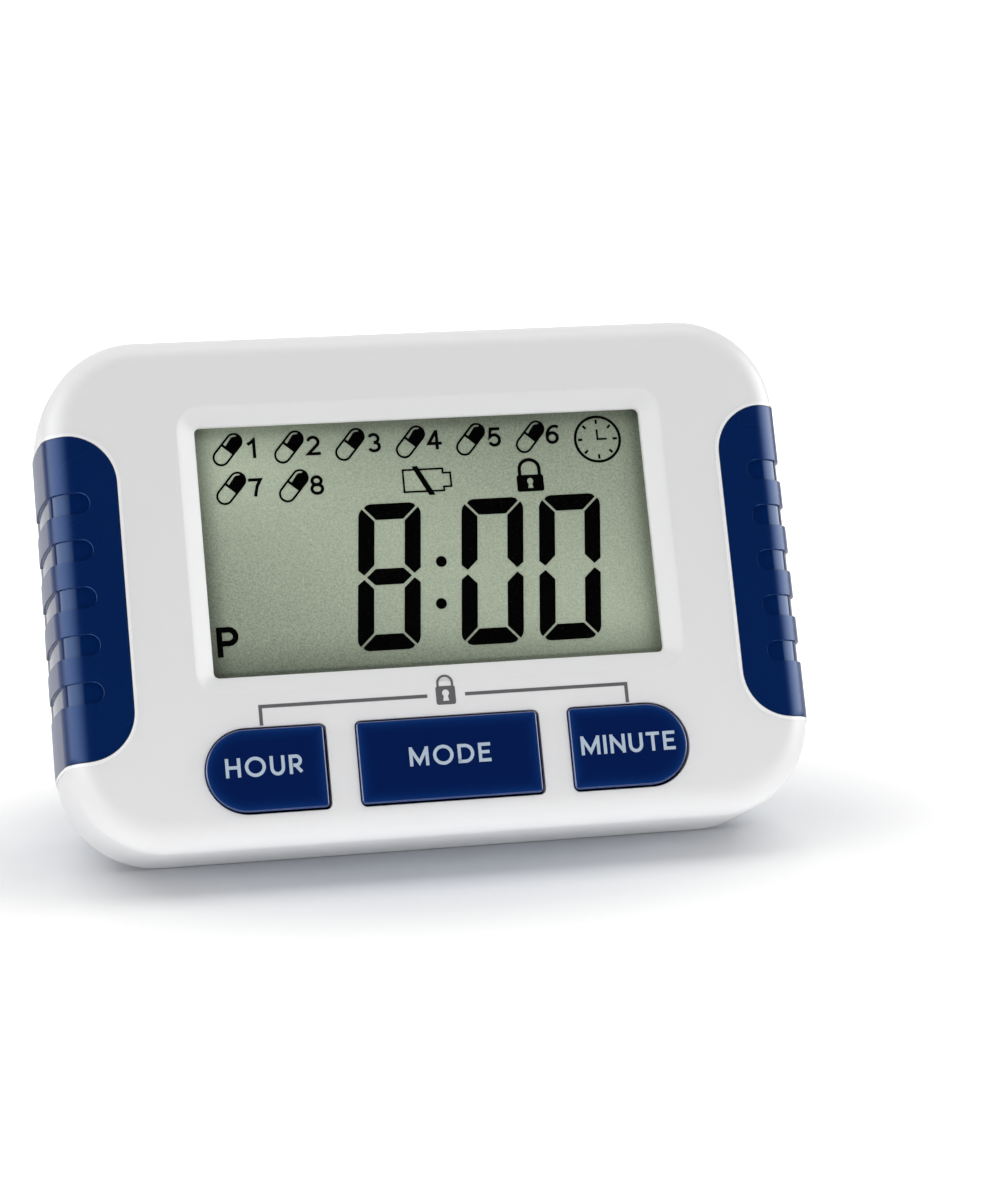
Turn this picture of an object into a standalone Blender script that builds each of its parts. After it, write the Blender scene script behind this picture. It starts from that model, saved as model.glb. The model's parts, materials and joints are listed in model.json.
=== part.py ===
"""A pill box with a timer: an alarm clock on the front, five pill compartments behind.

The box is drawn upright in its own frame, in metres: x runs across it, y from the front
face (0) to the back, z from its lower edge up. A parent empty then leans it back onto the
sloping base, and stands it with the middle of its footprint on the world's origin.
"""

import bmesh
import bpy
from math import cos, pi, radians, sin, tan
from mathutils import Matrix, Vector

# Clearances
FIT = 0.0003
OVERRUN = 0.0020
BITE = 0.0004

# Body; its width, height and depth follow from what it holds, further down
BODY_SIDE = 0.0153
BODY_CORNER = 0.0110
FACE_FILLET = 0.0034
WALL = 0.0018
LEAN = radians(23.5)
REAR_TAPER = 0.0030
REAR_FILLET = 0.0012
REAR_WALL = 0.0016
BASE_FILLET = 0.0006

# Display window, lens and display
WINDOW_SIDE = 0.01645
WINDOW_LOW = 0.01825
WINDOW_TOP = 0.01065
WINDOW_CORNER = 0.0006
WINDOW_BEVEL = 0.0018
WINDOW_BEVEL_DEPTH = 0.0013
LENS_MARGIN = 0.0022
LENS_THICK = 0.0010
LCD_MARGIN = 0.0025
LCD_GLASS = 0.0010
LCD_LEDGE = 0.0034
LCD_FRAME_WALL = 0.0020
LCD_SHELF = 0.0064
ZEBRA_HEIGHT = 0.0020
ZEBRA_MARGIN = 0.0010

# Push buttons
BUTTON_UP = 0.0079
BUTTON_HEIGHT = 0.0091
BUTTON_GAP = 0.00315
BUTTON_SIDE = 0.0148
SIDE_BUTTON_WIDTH = 0.0131
BUTTON_CORNER = 0.0005
BUTTON_PROUD = 0.0005
BUTTON_EDGE = 0.0003
FLANGE_THICK = 0.0010
FLANGE_LIP = 0.0006
STEM_RADIUS = 0.0016

# Rubber keypad
KEYPAD_MARGIN = 0.0018
KEYPAD_EDGE = 0.00025
KEYPAD_THICK = 0.0010
DOME_RADIUS = 0.0036
DOME_TOP_RADIUS = 0.0024
DOME_RISE = 0.0013
DOME_SKIN = 0.0005
PILL_RADIUS = 0.0014
PILL_LENGTH = 0.0006

# Side grips
GRIP_FACE = 0.0079
GRIP_LOW = 0.0100
GRIP_TOP = 0.01125
GRIP_CORNER = 0.0052
GRIP_THICK = 0.0016
GRIP_PROUD = 0.00015
SLOT_COUNT = 5
SLOT_SET = 0.0030
SLOT_HEIGHT = 0.0024
SLOT_PITCH = 0.00505
SLOT_DEPTH = 0.0004

# Circuit board and what it carries
BOARD_FRONT = 0.0084
BOARD_THICK = 0.0012
BOARD_MARGIN = 0.0005
BOARD_BOSS_SET = 0.0037
BOARD_BOSS_LOW = 0.0200
BOARD_BOSS_TOP = 0.0140
BOARD_BOSS_RADIUS = 0.0022
BOARD_SCREW_RADIUS = 0.0007
BOARD_SCREW_LENGTH = 0.0040
BOARD_SCREW_HEAD = 0.0018
BOARD_SCREW_HEAD_THICK = 0.0010
CHIP_RADIUS = 0.0060
CHIP_RISE = 0.0012
CHIP_TOP = 0.0190
CRYSTAL_RADIUS = 0.0010
CRYSTAL_LENGTH = 0.0062
CRYSTAL_OUT = 0.0135
CAPACITOR_RADIUS = 0.0016
CAPACITOR_LENGTH = 0.0050
CAPACITOR_OUT = -0.0130
BUZZER_RADIUS = 0.0060
BUZZER_THICK = 0.0036
BUZZER_CLEAR = 0.0010
BUZZER_HOLE = 0.0010
BUZZER_SET = 0.0101

# Case screws
CASE_SCREW_UP = 0.0104
CASE_BOSS_RADIUS = 0.0024
CASE_POST_RADIUS = 0.0037
CASE_SCREW_RADIUS = 0.0010
CASE_SCREW_LENGTH = 0.0115
CASE_HEAD_RADIUS = 0.0020
CASE_HEAD_THICK = 0.0014
CASE_SEAT = 0.0040
DRIVER_WIDTH = 0.0006
DRIVER_LENGTH = 0.0022
DRIVER_DEPTH = 0.0006

# Battery bay and its two cells
CELL_RADIUS = 0.00525
CELL_LENGTH = 0.0445
CELL_NUB_RADIUS = 0.0019
CELL_NUB_LENGTH = 0.0010
CELL_EDGE = 0.0004
CELL_SET = 0.0063
CELL_LOW_UP = 0.0107
CELL_GAP = 0.0002
SPRING_LENGTH = 0.0046
SPRING_WIRE = 0.00025
SPRING_BIG = 0.0034
SPRING_SMALL = 0.0020
SPRING_CURLS = 4
CONTACT_THICK = 0.0004
CONTACT_SIDE = 0.0086
TAB_WIDTH = 0.0024
TAB_REACH = 0.00125
BAY_FRONT_WALL = 0.0018
BAY_END_WALL = 0.0019
BAY_TOP_WALL = 0.0013
MOUTH_SET = 0.0027

# Battery door
DOOR_THICK = 0.0015
DOOR_GAP = 0.00045
DOOR_LAP = 0.0011
DOOR_LAP_LOW = 0.0006
DOOR_LAP_TOP = 0.00065
DOOR_HOOK_OUT = 0.0170
DOOR_HOOK_WIDTH = 0.0050
DOOR_HOOK_THICK = 0.0006
DOOR_HOOK_REACH = 0.0009
DOOR_HOOK_SET = 0.0005
DOOR_FINGER_WIDTH = 0.0100
DOOR_FINGER_LENGTH = 0.0070
DOOR_FINGER_SLIT = 0.0006
DOOR_RIDGES = 3
DOOR_RIDGE_PITCH = 0.0016
DOOR_RIDGE_RADIUS = 0.0005
DOOR_RIDGE_SINK = 0.00017
DOOR_RIDGE_SHARE = 0.7

# Pill compartments and their lid
COMPARTMENTS = 5
COMPARTMENT_SET = 0.00335
COMPARTMENT_HEIGHT = 0.0187
COMPARTMENT_SIDE = 0.0077
COMPARTMENT_WALL = 0.0010
COMPARTMENT_CORNER = 0.0020
COMPARTMENT_FLOOR = 0.0013
TRAY_RIM = 0.0011
TRAY_BRIM = 0.0010
TRAY_BRIM_THICK = 0.0016
LID_THICK = 0.0015
LID_LAP = 0.0012
LID_LAP_LOW = 0.0006
LID_TONGUE_WIDTH = 0.0090
LID_TONGUE_THICK = 0.0010
LID_TONGUE_REACH = 0.0024
LID_NOTCH_WIDTH = 0.0110
LID_NOTCH_HEIGHT = 0.0012
LID_NOTCH_DEPTH = 0.0010
HINGE_SET = 0.0022
HINGE_TOP = 0.0048
HINGE_END = 0.0010
BARREL_RADIUS = 0.0018
HINGE_PIN_RADIUS = 0.00075
LUG_WEB_SHARE = 0.8
HINGE_EDGES_SHARES = (-1.0, -0.6, -0.2, 0.2, 0.6, 1.0)

# Locating tabs between the two shells
TAB_TOP_OUT = 0.0180
TAB_TOP_WIDTH = 0.0080
TAB_BASE_WIDTH = 0.0300
SHELL_TAB_THICK = 0.0010
SHELL_TAB_REACH = 0.0030
SHELL_TAB_ROOT = 0.0040

# Sound slots and wires
SOUND_SLOTS = 3
SOUND_SLOT_SET = 0.0090
SOUND_SLOT_LOW = 0.0180
SOUND_SLOT_PITCH = 0.0024
SOUND_SLOT_WIDTH = 0.0050
SOUND_SLOT_HEIGHT = 0.0010
WIRE_RADIUS = 0.0005
WIRE_STEPS = 14

# How finely round shapes are cut
ARC_STEPS = 8
FILLET_STEPS = 5
ROUND_SIDES = 32
SMALL_SIDES = 20

# The front half is as deep as the board and its buzzer ask
BOARD_BACK = BOARD_FRONT + BOARD_THICK
FRONT_DEPTH = BOARD_BACK + FIT + BUZZER_THICK + BUZZER_CLEAR

# The battery bay, which the rest of the box is built round
CELL_PITCH = CELL_RADIUS * 2 + CELL_GAP
CELL_HIGH_UP = CELL_LOW_UP + CELL_PITCH
CELL_DEPTH = FRONT_DEPTH + CELL_SET
TROUGH_RADIUS = CELL_RADIUS + FIT
END_STACK = CONTACT_THICK + FIT * 2
BAY_HALF = (CELL_LENGTH + SPRING_LENGTH + FIT + END_STACK * 2) / 2
BAY_HIGH = CELL_HIGH_UP + TROUGH_RADIUS
BAY_FLOOR = CELL_DEPTH - TROUGH_RADIUS
BAY_FRONT = BAY_FLOOR - BAY_FRONT_WALL
TAB_FRONT = BAY_FRONT - TAB_REACH
MOUTH_LOW = CELL_LOW_UP - MOUTH_SET

# The compartments stand on the bay, and the hinge on them
COMPARTMENT_LOW = BAY_HIGH + COMPARTMENT_SET
COMPARTMENT_HIGH = COMPARTMENT_LOW + COMPARTMENT_HEIGHT
HINGE_UP = COMPARTMENT_HIGH + HINGE_SET

# The box's overall sizes
BODY_WIDTH = (BAY_HALF + BODY_SIDE) * 2
BODY_HEIGHT = HINGE_UP + HINGE_TOP
BODY_DEPTH = CELL_DEPTH + CELL_RADIUS + DOOR_GAP + DOOR_THICK
REAR_DEPTH = BODY_DEPTH - FRONT_DEPTH
BASE_RISE = REAR_DEPTH * tan(LEAN)

# Places on the front
WINDOW_WIDTH = BODY_WIDTH - WINDOW_SIDE * 2
WINDOW_HEIGHT = BODY_HEIGHT - WINDOW_LOW - WINDOW_TOP
WINDOW_UP = WINDOW_LOW + WINDOW_HEIGHT / 2
LENS_FRONT = WALL + FIT
LCD_FRONT = LENS_FRONT + LENS_THICK + FIT
LCD_BACK = LCD_FRONT + LCD_GLASS * 2
GRIP_INNER = BODY_WIDTH / 2 - GRIP_FACE
GRIP_HIGH = BODY_HEIGHT - GRIP_TOP
GRIP_SEAT = GRIP_THICK + FIT
SLOT_INNER = GRIP_INNER + SLOT_SET
SIDE_WALL = GRIP_SEAT + WALL
CAVITY_HALF = BODY_WIDTH / 2 - SIDE_WALL
SIDE_BUTTON_OUTER = BODY_WIDTH / 2 - BUTTON_SIDE
SIDE_BUTTON_INNER = SIDE_BUTTON_OUTER - SIDE_BUTTON_WIDTH
SIDE_BUTTON_AT = (SIDE_BUTTON_INNER + SIDE_BUTTON_OUTER) / 2
MODE_WIDTH = (SIDE_BUTTON_INNER - BUTTON_GAP) * 2
FLANGE_FRONT = WALL + FIT

# Places on the circuit board
BOARD_BOSS_OUT = CAVITY_HALF - BOARD_BOSS_SET
BOARD_BOSS_HIGH = BODY_HEIGHT - BOARD_BOSS_TOP
KEYPAD_BACK = BOARD_FRONT - FIT
KEYPAD_FRONT = KEYPAD_BACK - KEYPAD_THICK
DOME_FRONT = KEYPAD_FRONT - DOME_RISE
CHIP_UP = BODY_HEIGHT - CHIP_TOP
BUZZER_OUT = BOARD_BOSS_OUT - BUZZER_SET
BUZZER_UP = BOARD_BOSS_HIGH

# Places on the back
CASE_SCREW_OUT = BAY_HALF + BAY_END_WALL + CASE_POST_RADIUS - FIT
CASE_SEAT_DEPTH = FRONT_DEPTH + CASE_SEAT
SOUND_SLOT_OUT = BODY_WIDTH / 2 - SOUND_SLOT_SET
DOOR_HALF = BAY_HALF + DOOR_LAP
DOOR_LOW = MOUTH_LOW - DOOR_LAP_LOW
DOOR_HIGH = BAY_HIGH + DOOR_LAP_TOP
DOOR_FRONT = BODY_DEPTH - DOOR_THICK
DOOR_HOOK_DEPTH = DOOR_FRONT - DOOR_HOOK_SET
DOOR_RADIUS = DOOR_THICK / 2
DOOR_AXIS = Vector((0, BODY_DEPTH - DOOR_RADIUS, DOOR_LOW + DOOR_RADIUS))
COMPARTMENT_SPAN = BODY_WIDTH - COMPARTMENT_SIDE * 2
LID_HALF = COMPARTMENT_SPAN / 2 + LID_LAP
LID_LOW = COMPARTMENT_LOW - LID_LAP_LOW
LID_FRONT = BODY_DEPTH - LID_THICK
LID_AXIS = Vector((0, BODY_DEPTH - BARREL_RADIUS, HINGE_UP))
HINGE_HALF = LID_HALF - HINGE_END
HINGE_REACH = BARREL_RADIUS + FIT
RIM_BACK = LID_FRONT - FIT
TRAY_HALF = COMPARTMENT_SPAN / 2 + TRAY_RIM
TRAY_FLOOR = FRONT_DEPTH + FIT / 2 + COMPARTMENT_FLOOR


def fresh_scene():
    """Clears the scene and makes the two collections and the leaning parent."""
    for obj in list(bpy.data.objects):
        bpy.data.objects.remove(obj, do_unlink=True)
    parts = bpy.data.collections.new("pill_box_with_timer")
    cutters = bpy.data.collections.new("cutters")
    for collection in (parts, cutters):
        bpy.context.scene.collection.children.link(collection)
    cutters.hide_render = True
    lean = bpy.data.objects.new("leaning_frame", None)
    lean.rotation_euler = (-LEAN, 0, 0)
    parts.objects.link(lean)
    return parts, cutters, lean


PARTS, CUTTERS, LEANING = fresh_scene()


def finish(name, colour, roughness, metallic=0.0, alpha=1.0):
    """A plain material for one kind of surface."""
    material = bpy.data.materials.new(name)
    material.use_nodes = True
    shader = material.node_tree.nodes["Principled BSDF"]
    shader.inputs["Base Color"].default_value = (*colour, 1)
    shader.inputs["Roughness"].default_value = roughness
    shader.inputs["Metallic"].default_value = metallic
    shader.inputs["Alpha"].default_value = alpha
    material.diffuse_color = (*colour, alpha)
    return material


WHITE = finish("white_plastic", (0.80, 0.80, 0.81), 0.35)
NAVY = finish("navy_plastic", (0.006, 0.024, 0.135), 0.35)
NAVY_RUBBER = finish("navy_rubber", (0.006, 0.022, 0.12), 0.45)
CLEAR = finish("clear_lens", (0.95, 0.97, 0.96), 0.05, alpha=0.2)
LCD_GREY = finish("lcd_glass", (0.42, 0.45, 0.38), 0.25)
FRAME_WHITE = finish("frame_plastic", (0.75, 0.75, 0.74), 0.5)
SILICONE = finish("grey_silicone", (0.35, 0.36, 0.38), 0.6)
ZEBRA = finish("zebra_rubber", (0.30, 0.20, 0.22), 0.6)
BOARD_GREEN = finish("board_green", (0.02, 0.16, 0.06), 0.4)
EPOXY = finish("black_epoxy", (0.01, 0.01, 0.01), 0.3)
BLACK = finish("black_plastic", (0.02, 0.02, 0.02), 0.45)
STEEL = finish("bright_steel", (0.70, 0.70, 0.72), 0.25, 1.0)
CELL_GOLD = finish("cell_sleeve", (0.72, 0.47, 0.14), 0.3, 1.0)
RED_WIRE = finish("red_insulation", (0.5, 0.02, 0.02), 0.5)
BLACK_WIRE = finish("black_insulation", (0.02, 0.02, 0.02), 0.5)


def place(obj, material=None):
    """Puts an object in its collection, under the leaning parent."""
    is_part = material is not None
    (PARTS if is_part else CUTTERS).objects.link(obj)
    obj.parent = LEANING
    if is_part:
        obj.data.materials.clear()
        obj.data.materials.append(material)
        return obj
    obj.hide_render = True
    obj.display_type = "WIRE"
    return obj


def from_bmesh(name, bm, material=None, origin=(0, 0, 0)):
    """An object from a bmesh drawn in the box's frame, with its origin at the point given."""
    bmesh.ops.translate(bm, vec=-Vector(origin), verts=bm.verts)
    bmesh.ops.recalc_face_normals(bm, faces=bm.faces)
    mesh = bpy.data.meshes.new(name)
    bm.to_mesh(mesh)
    bm.free()
    obj = place(bpy.data.objects.new(name, mesh), material)
    obj.location = origin
    return obj


def add_box(bm, low, high):
    """Adds a box between two corners."""
    low, high = Vector(low), Vector(high)
    matrix = Matrix.Translation((low + high) / 2) @ Matrix.Diagonal((*(high - low), 1))
    bmesh.ops.create_cube(bm, size=1, matrix=matrix)


def add_round(bm, start, end, radius, end_radius=None, sides=ROUND_SIDES):
    """Adds a cylinder or cone between two points."""
    start, end = Vector(start), Vector(end)
    turn = (end - start).to_track_quat("Z", "Y").to_matrix().to_4x4()
    bmesh.ops.create_cone(
        bm,
        cap_ends=True,
        segments=sides,
        radius1=radius,
        radius2=radius if end_radius is None else end_radius,
        depth=(end - start).length,
        matrix=Matrix.Translation((start + end) / 2) @ turn,
    )


def box(name, low, high, material=None, origin=(0, 0, 0)):
    bm = bmesh.new()
    add_box(bm, low, high)
    return from_bmesh(name, bm, material, origin)


def boxes(name, corners, material=None):
    """Several boxes in one mesh; as a cutter they may stand apart."""
    bm = bmesh.new()
    for low, high in corners:
        add_box(bm, low, high)
    return from_bmesh(name, bm, material)


def rod(name, start, end, radius, material=None, origin=(0, 0, 0), sides=ROUND_SIDES):
    bm = bmesh.new()
    add_round(bm, start, end, radius, sides=sides)
    return from_bmesh(name, bm, material, origin)


def arc(centre, radius, start, sweep, steps=ARC_STEPS):
    """Points along an arc; angles run from +x towards +z."""
    turns = [start + sweep * i / steps for i in range(steps + 1)]
    return [(centre[0] + radius * cos(a), centre[1] + radius * sin(a)) for a in turns]


def rounded(left, right, low, high, radius, steps=ARC_STEPS):
    """The outline of a rounded rectangle, anticlockwise as seen from the front."""
    corners = (
        ((right - radius, high - radius), 0),
        ((left + radius, high - radius), pi / 2),
        ((left + radius, low + radius), pi),
        ((right - radius, low + radius), pi * 3 / 2),
    )
    outline = []
    for centre, start in corners:
        outline += arc(centre, radius, start, pi / 2, steps)
    return outline


def d_shape(inner, outer, low, high, corner, side):
    """A button outline with a square inner end and a round outer end; side is -1 or 1."""
    end = (high - low) / 2
    outline = arc((outer - end, (low + high) / 2), end, -pi / 2, pi, ARC_STEPS * 2)
    outline += arc((inner + corner, high - corner), corner, pi / 2, pi / 2, 2)
    outline += arc((inner + corner, low + corner), corner, pi, pi / 2, 2)
    outline = [(x * side, z) for x, z in outline]
    return outline if side > 0 else outline[::-1]


def extruded(name, outline, thickness, rotation, location):
    """A bmesh of a flat outline with a thickness, made from a 2D curve turned and placed."""
    curve = bpy.data.curves.new(name, "CURVE")
    curve.dimensions = "2D"
    curve.fill_mode = "BOTH"
    curve.extrude = thickness / 2
    spline = curve.splines.new("POLY")
    spline.points.add(len(outline) - 1)
    for point, (across, up) in zip(spline.points, outline):
        point.co = (across, up, 0, 1)
    spline.use_cyclic_u = True
    drawn = bpy.data.objects.new(name + "_outline", curve)
    drawn.rotation_euler = rotation
    drawn.location = location
    bpy.context.scene.collection.objects.link(drawn)
    bpy.context.view_layer.update()
    seen = drawn.evaluated_get(bpy.context.evaluated_depsgraph_get())
    mesh = bpy.data.meshes.new_from_object(seen)
    bm = bmesh.new()
    bm.from_mesh(mesh)
    bmesh.ops.transform(bm, matrix=drawn.matrix_world, verts=bm.verts)
    bmesh.ops.remove_doubles(bm, verts=bm.verts, dist=FIT / 100)
    bpy.data.objects.remove(drawn)
    bpy.data.curves.remove(curve)
    bpy.data.meshes.remove(mesh)
    return bm


def slab(name, outline, front, back, material=None, origin=(0, 0, 0), rim=0.0):
    """An outline seen from the front, from one depth to another; rim rounds its front edge."""
    bm = extruded(name, outline, back - front, (pi / 2, 0, 0), (0, (front + back) / 2, 0))
    if rim:
        near = min(v.co.y for v in bm.verts) + rim / 2
        edges = [e for e in bm.edges if all(v.co.y < near for v in e.verts) and len(e.link_faces) == 2]
        edges = [e for e in edges if any(max(v.co.y for v in f.verts) > near for f in e.link_faces)]
        bmesh.ops.bevel(
            bm, geom=edges, offset=rim, segments=FILLET_STEPS, profile=1 / 2, affect="EDGES"
        )
    return from_bmesh(name, bm, material, origin)


def bar(name, profile, left, right, material=None, origin=(0, 0, 0)):
    """A side profile, as depths and heights, carried from left to right."""
    bm = extruded(name, profile, right - left, (pi / 2, 0, pi / 2), ((left + right) / 2, 0, 0))
    return from_bmesh(name, bm, material, origin)


def loft(name, sections, material=None):
    """A closed solid through sections of equal point count, each a depth and an outline."""
    bm = bmesh.new()
    rings = [[bm.verts.new((x, y, z)) for x, z in outline] for y, outline in sections]
    count = len(rings[0])
    for near, far in zip(rings, rings[1:]):
        for i in range(count):
            j = (i + 1) % count
            bm.faces.new((near[i], near[j], far[j], far[i]))
    bm.faces.new(rings[0][::-1])
    bm.faces.new(rings[-1])
    return from_bmesh(name, bm, material)


def boolean(obj, other, operation):
    modifier = obj.modifiers.new(other.name, "BOOLEAN")
    modifier.operation = operation
    modifier.solver = "EXACT"
    modifier.object = other


def cut(obj, *cutters):
    for cutter in cutters:
        boolean(obj, cutter, "DIFFERENCE")


def join(obj, *others):
    for other in others:
        boolean(obj, other, "UNION")


def soften(obj, width, angle=radians(50), segments=2):
    """Rounds the sharp edges of a piece."""
    modifier = obj.modifiers.new("rounded_edges", "BEVEL")
    modifier.width = width
    modifier.segments = segments
    modifier.limit_method = "ANGLE"
    modifier.angle_limit = angle


def shade(obj, angle=radians(35)):
    obj.data.shade_smooth()
    obj.data.set_sharp_from_angle(angle=angle)
    return obj


def body_outline(inset, corner=BODY_CORNER):
    half = BODY_WIDTH / 2 - inset
    return rounded(-half, half, inset, BODY_HEIGHT - inset, corner - inset)


def front_solid(name, inset, back, material=None):
    """The front half's outer form, drawn in by an inset, with its rounded front rim."""
    return slab(name, body_outline(inset), inset, back, material, rim=FACE_FILLET - inset)


def rear_outline(depth, inset, fillet_turn=0.0):
    """The tapering rear half's outline at a depth; its lower side is the sloping base."""
    share = (depth - FRONT_DEPTH) / REAR_DEPTH
    side = REAR_TAPER * share + inset + REAR_FILLET * (1 - cos(fillet_turn))
    base = BASE_RISE * share + inset / cos(LEAN) + BASE_FILLET * (1 - cos(fillet_turn))
    half = BODY_WIDTH / 2 - side
    return rounded(-half, half, base, BODY_HEIGHT - side, BODY_CORNER - side)


def rear_solid(name, inset, front, back, material=None):
    """The rear half's outer form, drawn in by an inset, its back rim rounded where it shows."""
    sections = [(front, rear_outline(front, inset))]
    if inset:
        sections.append((back, rear_outline(back, inset)))
        return loft(name, sections, material)
    for step in range(FILLET_STEPS + 1):
        turn = pi / 2 * step / FILLET_STEPS
        depth = back - REAR_FILLET * (1 - sin(turn))
        sections.append((depth, rear_outline(depth, inset, turn)))
    return loft(name, sections, material)


def both_sides(low, high):
    """A box's corners, and those of its mirror image across the middle."""
    return [(low, high), ((-high[0], low[1], low[2]), (-low[0], high[1], high[2]))]


def button_outlines(inset):
    """The three button outlines, drawn in from the holes by an inset."""
    low = BUTTON_UP - BUTTON_HEIGHT / 2 + inset
    high = BUTTON_UP + BUTTON_HEIGHT / 2 - inset
    half = MODE_WIDTH / 2 - inset
    inner, outer = SIDE_BUTTON_INNER + inset, SIDE_BUTTON_OUTER - inset
    return {
        "hour_button": d_shape(inner, outer, low, high, BUTTON_CORNER, -1),
        "mode_button": rounded(-half, half, low, high, BUTTON_CORNER, 2),
        "minute_button": d_shape(inner, outer, low, high, BUTTON_CORNER, 1),
    }


def grip_outline(side, grow=0.0):
    """One grip's outline on the face; it runs out past the side of the box."""
    inner = GRIP_INNER - grow
    outer = BODY_WIDTH / 2 + GRIP_CORNER + OVERRUN
    left, right = (inner, outer) if side > 0 else (-outer, -inner)
    return rounded(left, right, GRIP_LOW - grow, GRIP_HIGH + grow, GRIP_CORNER + grow)


def board_bosses():
    """Where the four posts that carry the circuit board stand, across and up."""
    return [
        (side * BOARD_BOSS_OUT, up)
        for up in (BOARD_BOSS_LOW, BOARD_BOSS_HIGH)
        for side in (-1, 1)
    ]


def case_screws():
    return [(side * CASE_SCREW_OUT, CASE_SCREW_UP) for side in (-1, 1)]


def shell_tabs(grow=0.0):
    """The tabs by which the rear shell hooks inside the front one, two above and one below."""
    top = BODY_HEIGHT - WALL - FIT
    front = FRONT_DEPTH - SHELL_TAB_REACH
    back = FRONT_DEPTH + SHELL_TAB_ROOT
    half = TAB_TOP_WIDTH / 2
    tabs = both_sides(
        (TAB_TOP_OUT - half, front, top - SHELL_TAB_THICK), (TAB_TOP_OUT + half, back, top)
    )
    low = WALL + FIT
    half = TAB_BASE_WIDTH / 2
    tabs.append(((-half, front, low), (half, back, low + SHELL_TAB_THICK)))
    return tabs


def front_shell():
    """The white front half: face, window, button holes, grip seats and screw posts."""
    back = FRONT_DEPTH - FIT / 2
    shell = front_solid("front_shell", 0, back, WHITE)
    inner_low, inner_high = WALL, BODY_HEIGHT - WALL
    deep = rounded(
        -CAVITY_HALF, CAVITY_HALF, inner_low, inner_high, BODY_CORNER - SIDE_WALL
    )
    cut(shell, slab("front_cavity", deep, SIDE_WALL, back + OVERRUN))
    shallow = rounded(
        FIT - GRIP_INNER + WALL, GRIP_INNER - WALL - FIT, inner_low, inner_high, WALL
    )
    cut(shell, slab("front_cavity_middle", shallow, WALL, SIDE_WALL + BITE))

    half, rise = WINDOW_WIDTH / 2, WINDOW_HEIGHT / 2
    sections = []
    for depth, grow in (
        (-OVERRUN, WINDOW_BEVEL * (1 + OVERRUN / WINDOW_BEVEL_DEPTH)),
        (WINDOW_BEVEL_DEPTH, 0),
        (WALL + OVERRUN, 0),
    ):
        sections.append(
            (
                depth,
                rounded(
                    -half - grow,
                    half + grow,
                    WINDOW_UP - rise - grow,
                    WINDOW_UP + rise + grow,
                    WINDOW_CORNER + grow,
                    3,
                ),
            )
        )
    cut(shell, loft("window_opening", sections))
    for name, outline in button_outlines(0).items():
        cut(shell, slab(name + "_hole", outline, -OVERRUN, SIDE_WALL + OVERRUN))

    for side, label in ((-1, "left"), (1, "right")):
        seat = slab(label + "_grip_seat", grip_outline(side, FIT), -OVERRUN, back + OVERRUN)
        cut(seat, front_solid(label + "_grip_floor", GRIP_SEAT, back + OVERRUN * 2))
        cut(shell, seat)

    posts = bmesh.new()
    pilots = bmesh.new()
    for x, z in board_bosses():
        end = BOARD_FRONT - FIT
        add_round(posts, (x, SIDE_WALL - BITE, z), (x, end, z), BOARD_BOSS_RADIUS, sides=SMALL_SIDES)
        start = end - BOARD_SCREW_LENGTH
        pilot = BOARD_SCREW_RADIUS + FIT
        add_round(pilots, (x, start, z), (x, end + OVERRUN, z), pilot, sides=SMALL_SIDES)
    for x, z in case_screws():
        start = CASE_SEAT_DEPTH - CASE_SCREW_LENGTH - FIT
        pilot = CASE_SCREW_RADIUS + FIT
        foot = WALL - BITE
        add_round(posts, (x, foot, z), (x, back, z), CASE_BOSS_RADIUS, sides=SMALL_SIDES)
        add_round(pilots, (x, start, z), (x, back + OVERRUN, z), pilot, sides=SMALL_SIDES)
    join(shell, from_bmesh("front_posts", posts))
    cut(shell, from_bmesh("front_pilots", pilots))
    return shade(shell)


def compartment_boxes():
    """Left and right edge of each pill compartment."""
    pitch = (COMPARTMENT_SPAN + COMPARTMENT_WALL) / COMPARTMENTS
    start = -COMPARTMENT_SPAN / 2
    return [
        (start + pitch * i, start + pitch * i + pitch - COMPARTMENT_WALL)
        for i in range(COMPARTMENTS)
    ]


def hinge_spans(owner):
    """The stretches of hinge barrel that belong to the lid (0) or to the rear shell (1)."""
    edges = [share * HINGE_HALF for share in HINGE_EDGES_SHARES]
    spans = [
        (left + FIT / 2, right - FIT / 2) for left, right in zip(edges, edges[1:])
    ]
    return [span for i, span in enumerate(spans) if i % 2 == owner]


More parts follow.
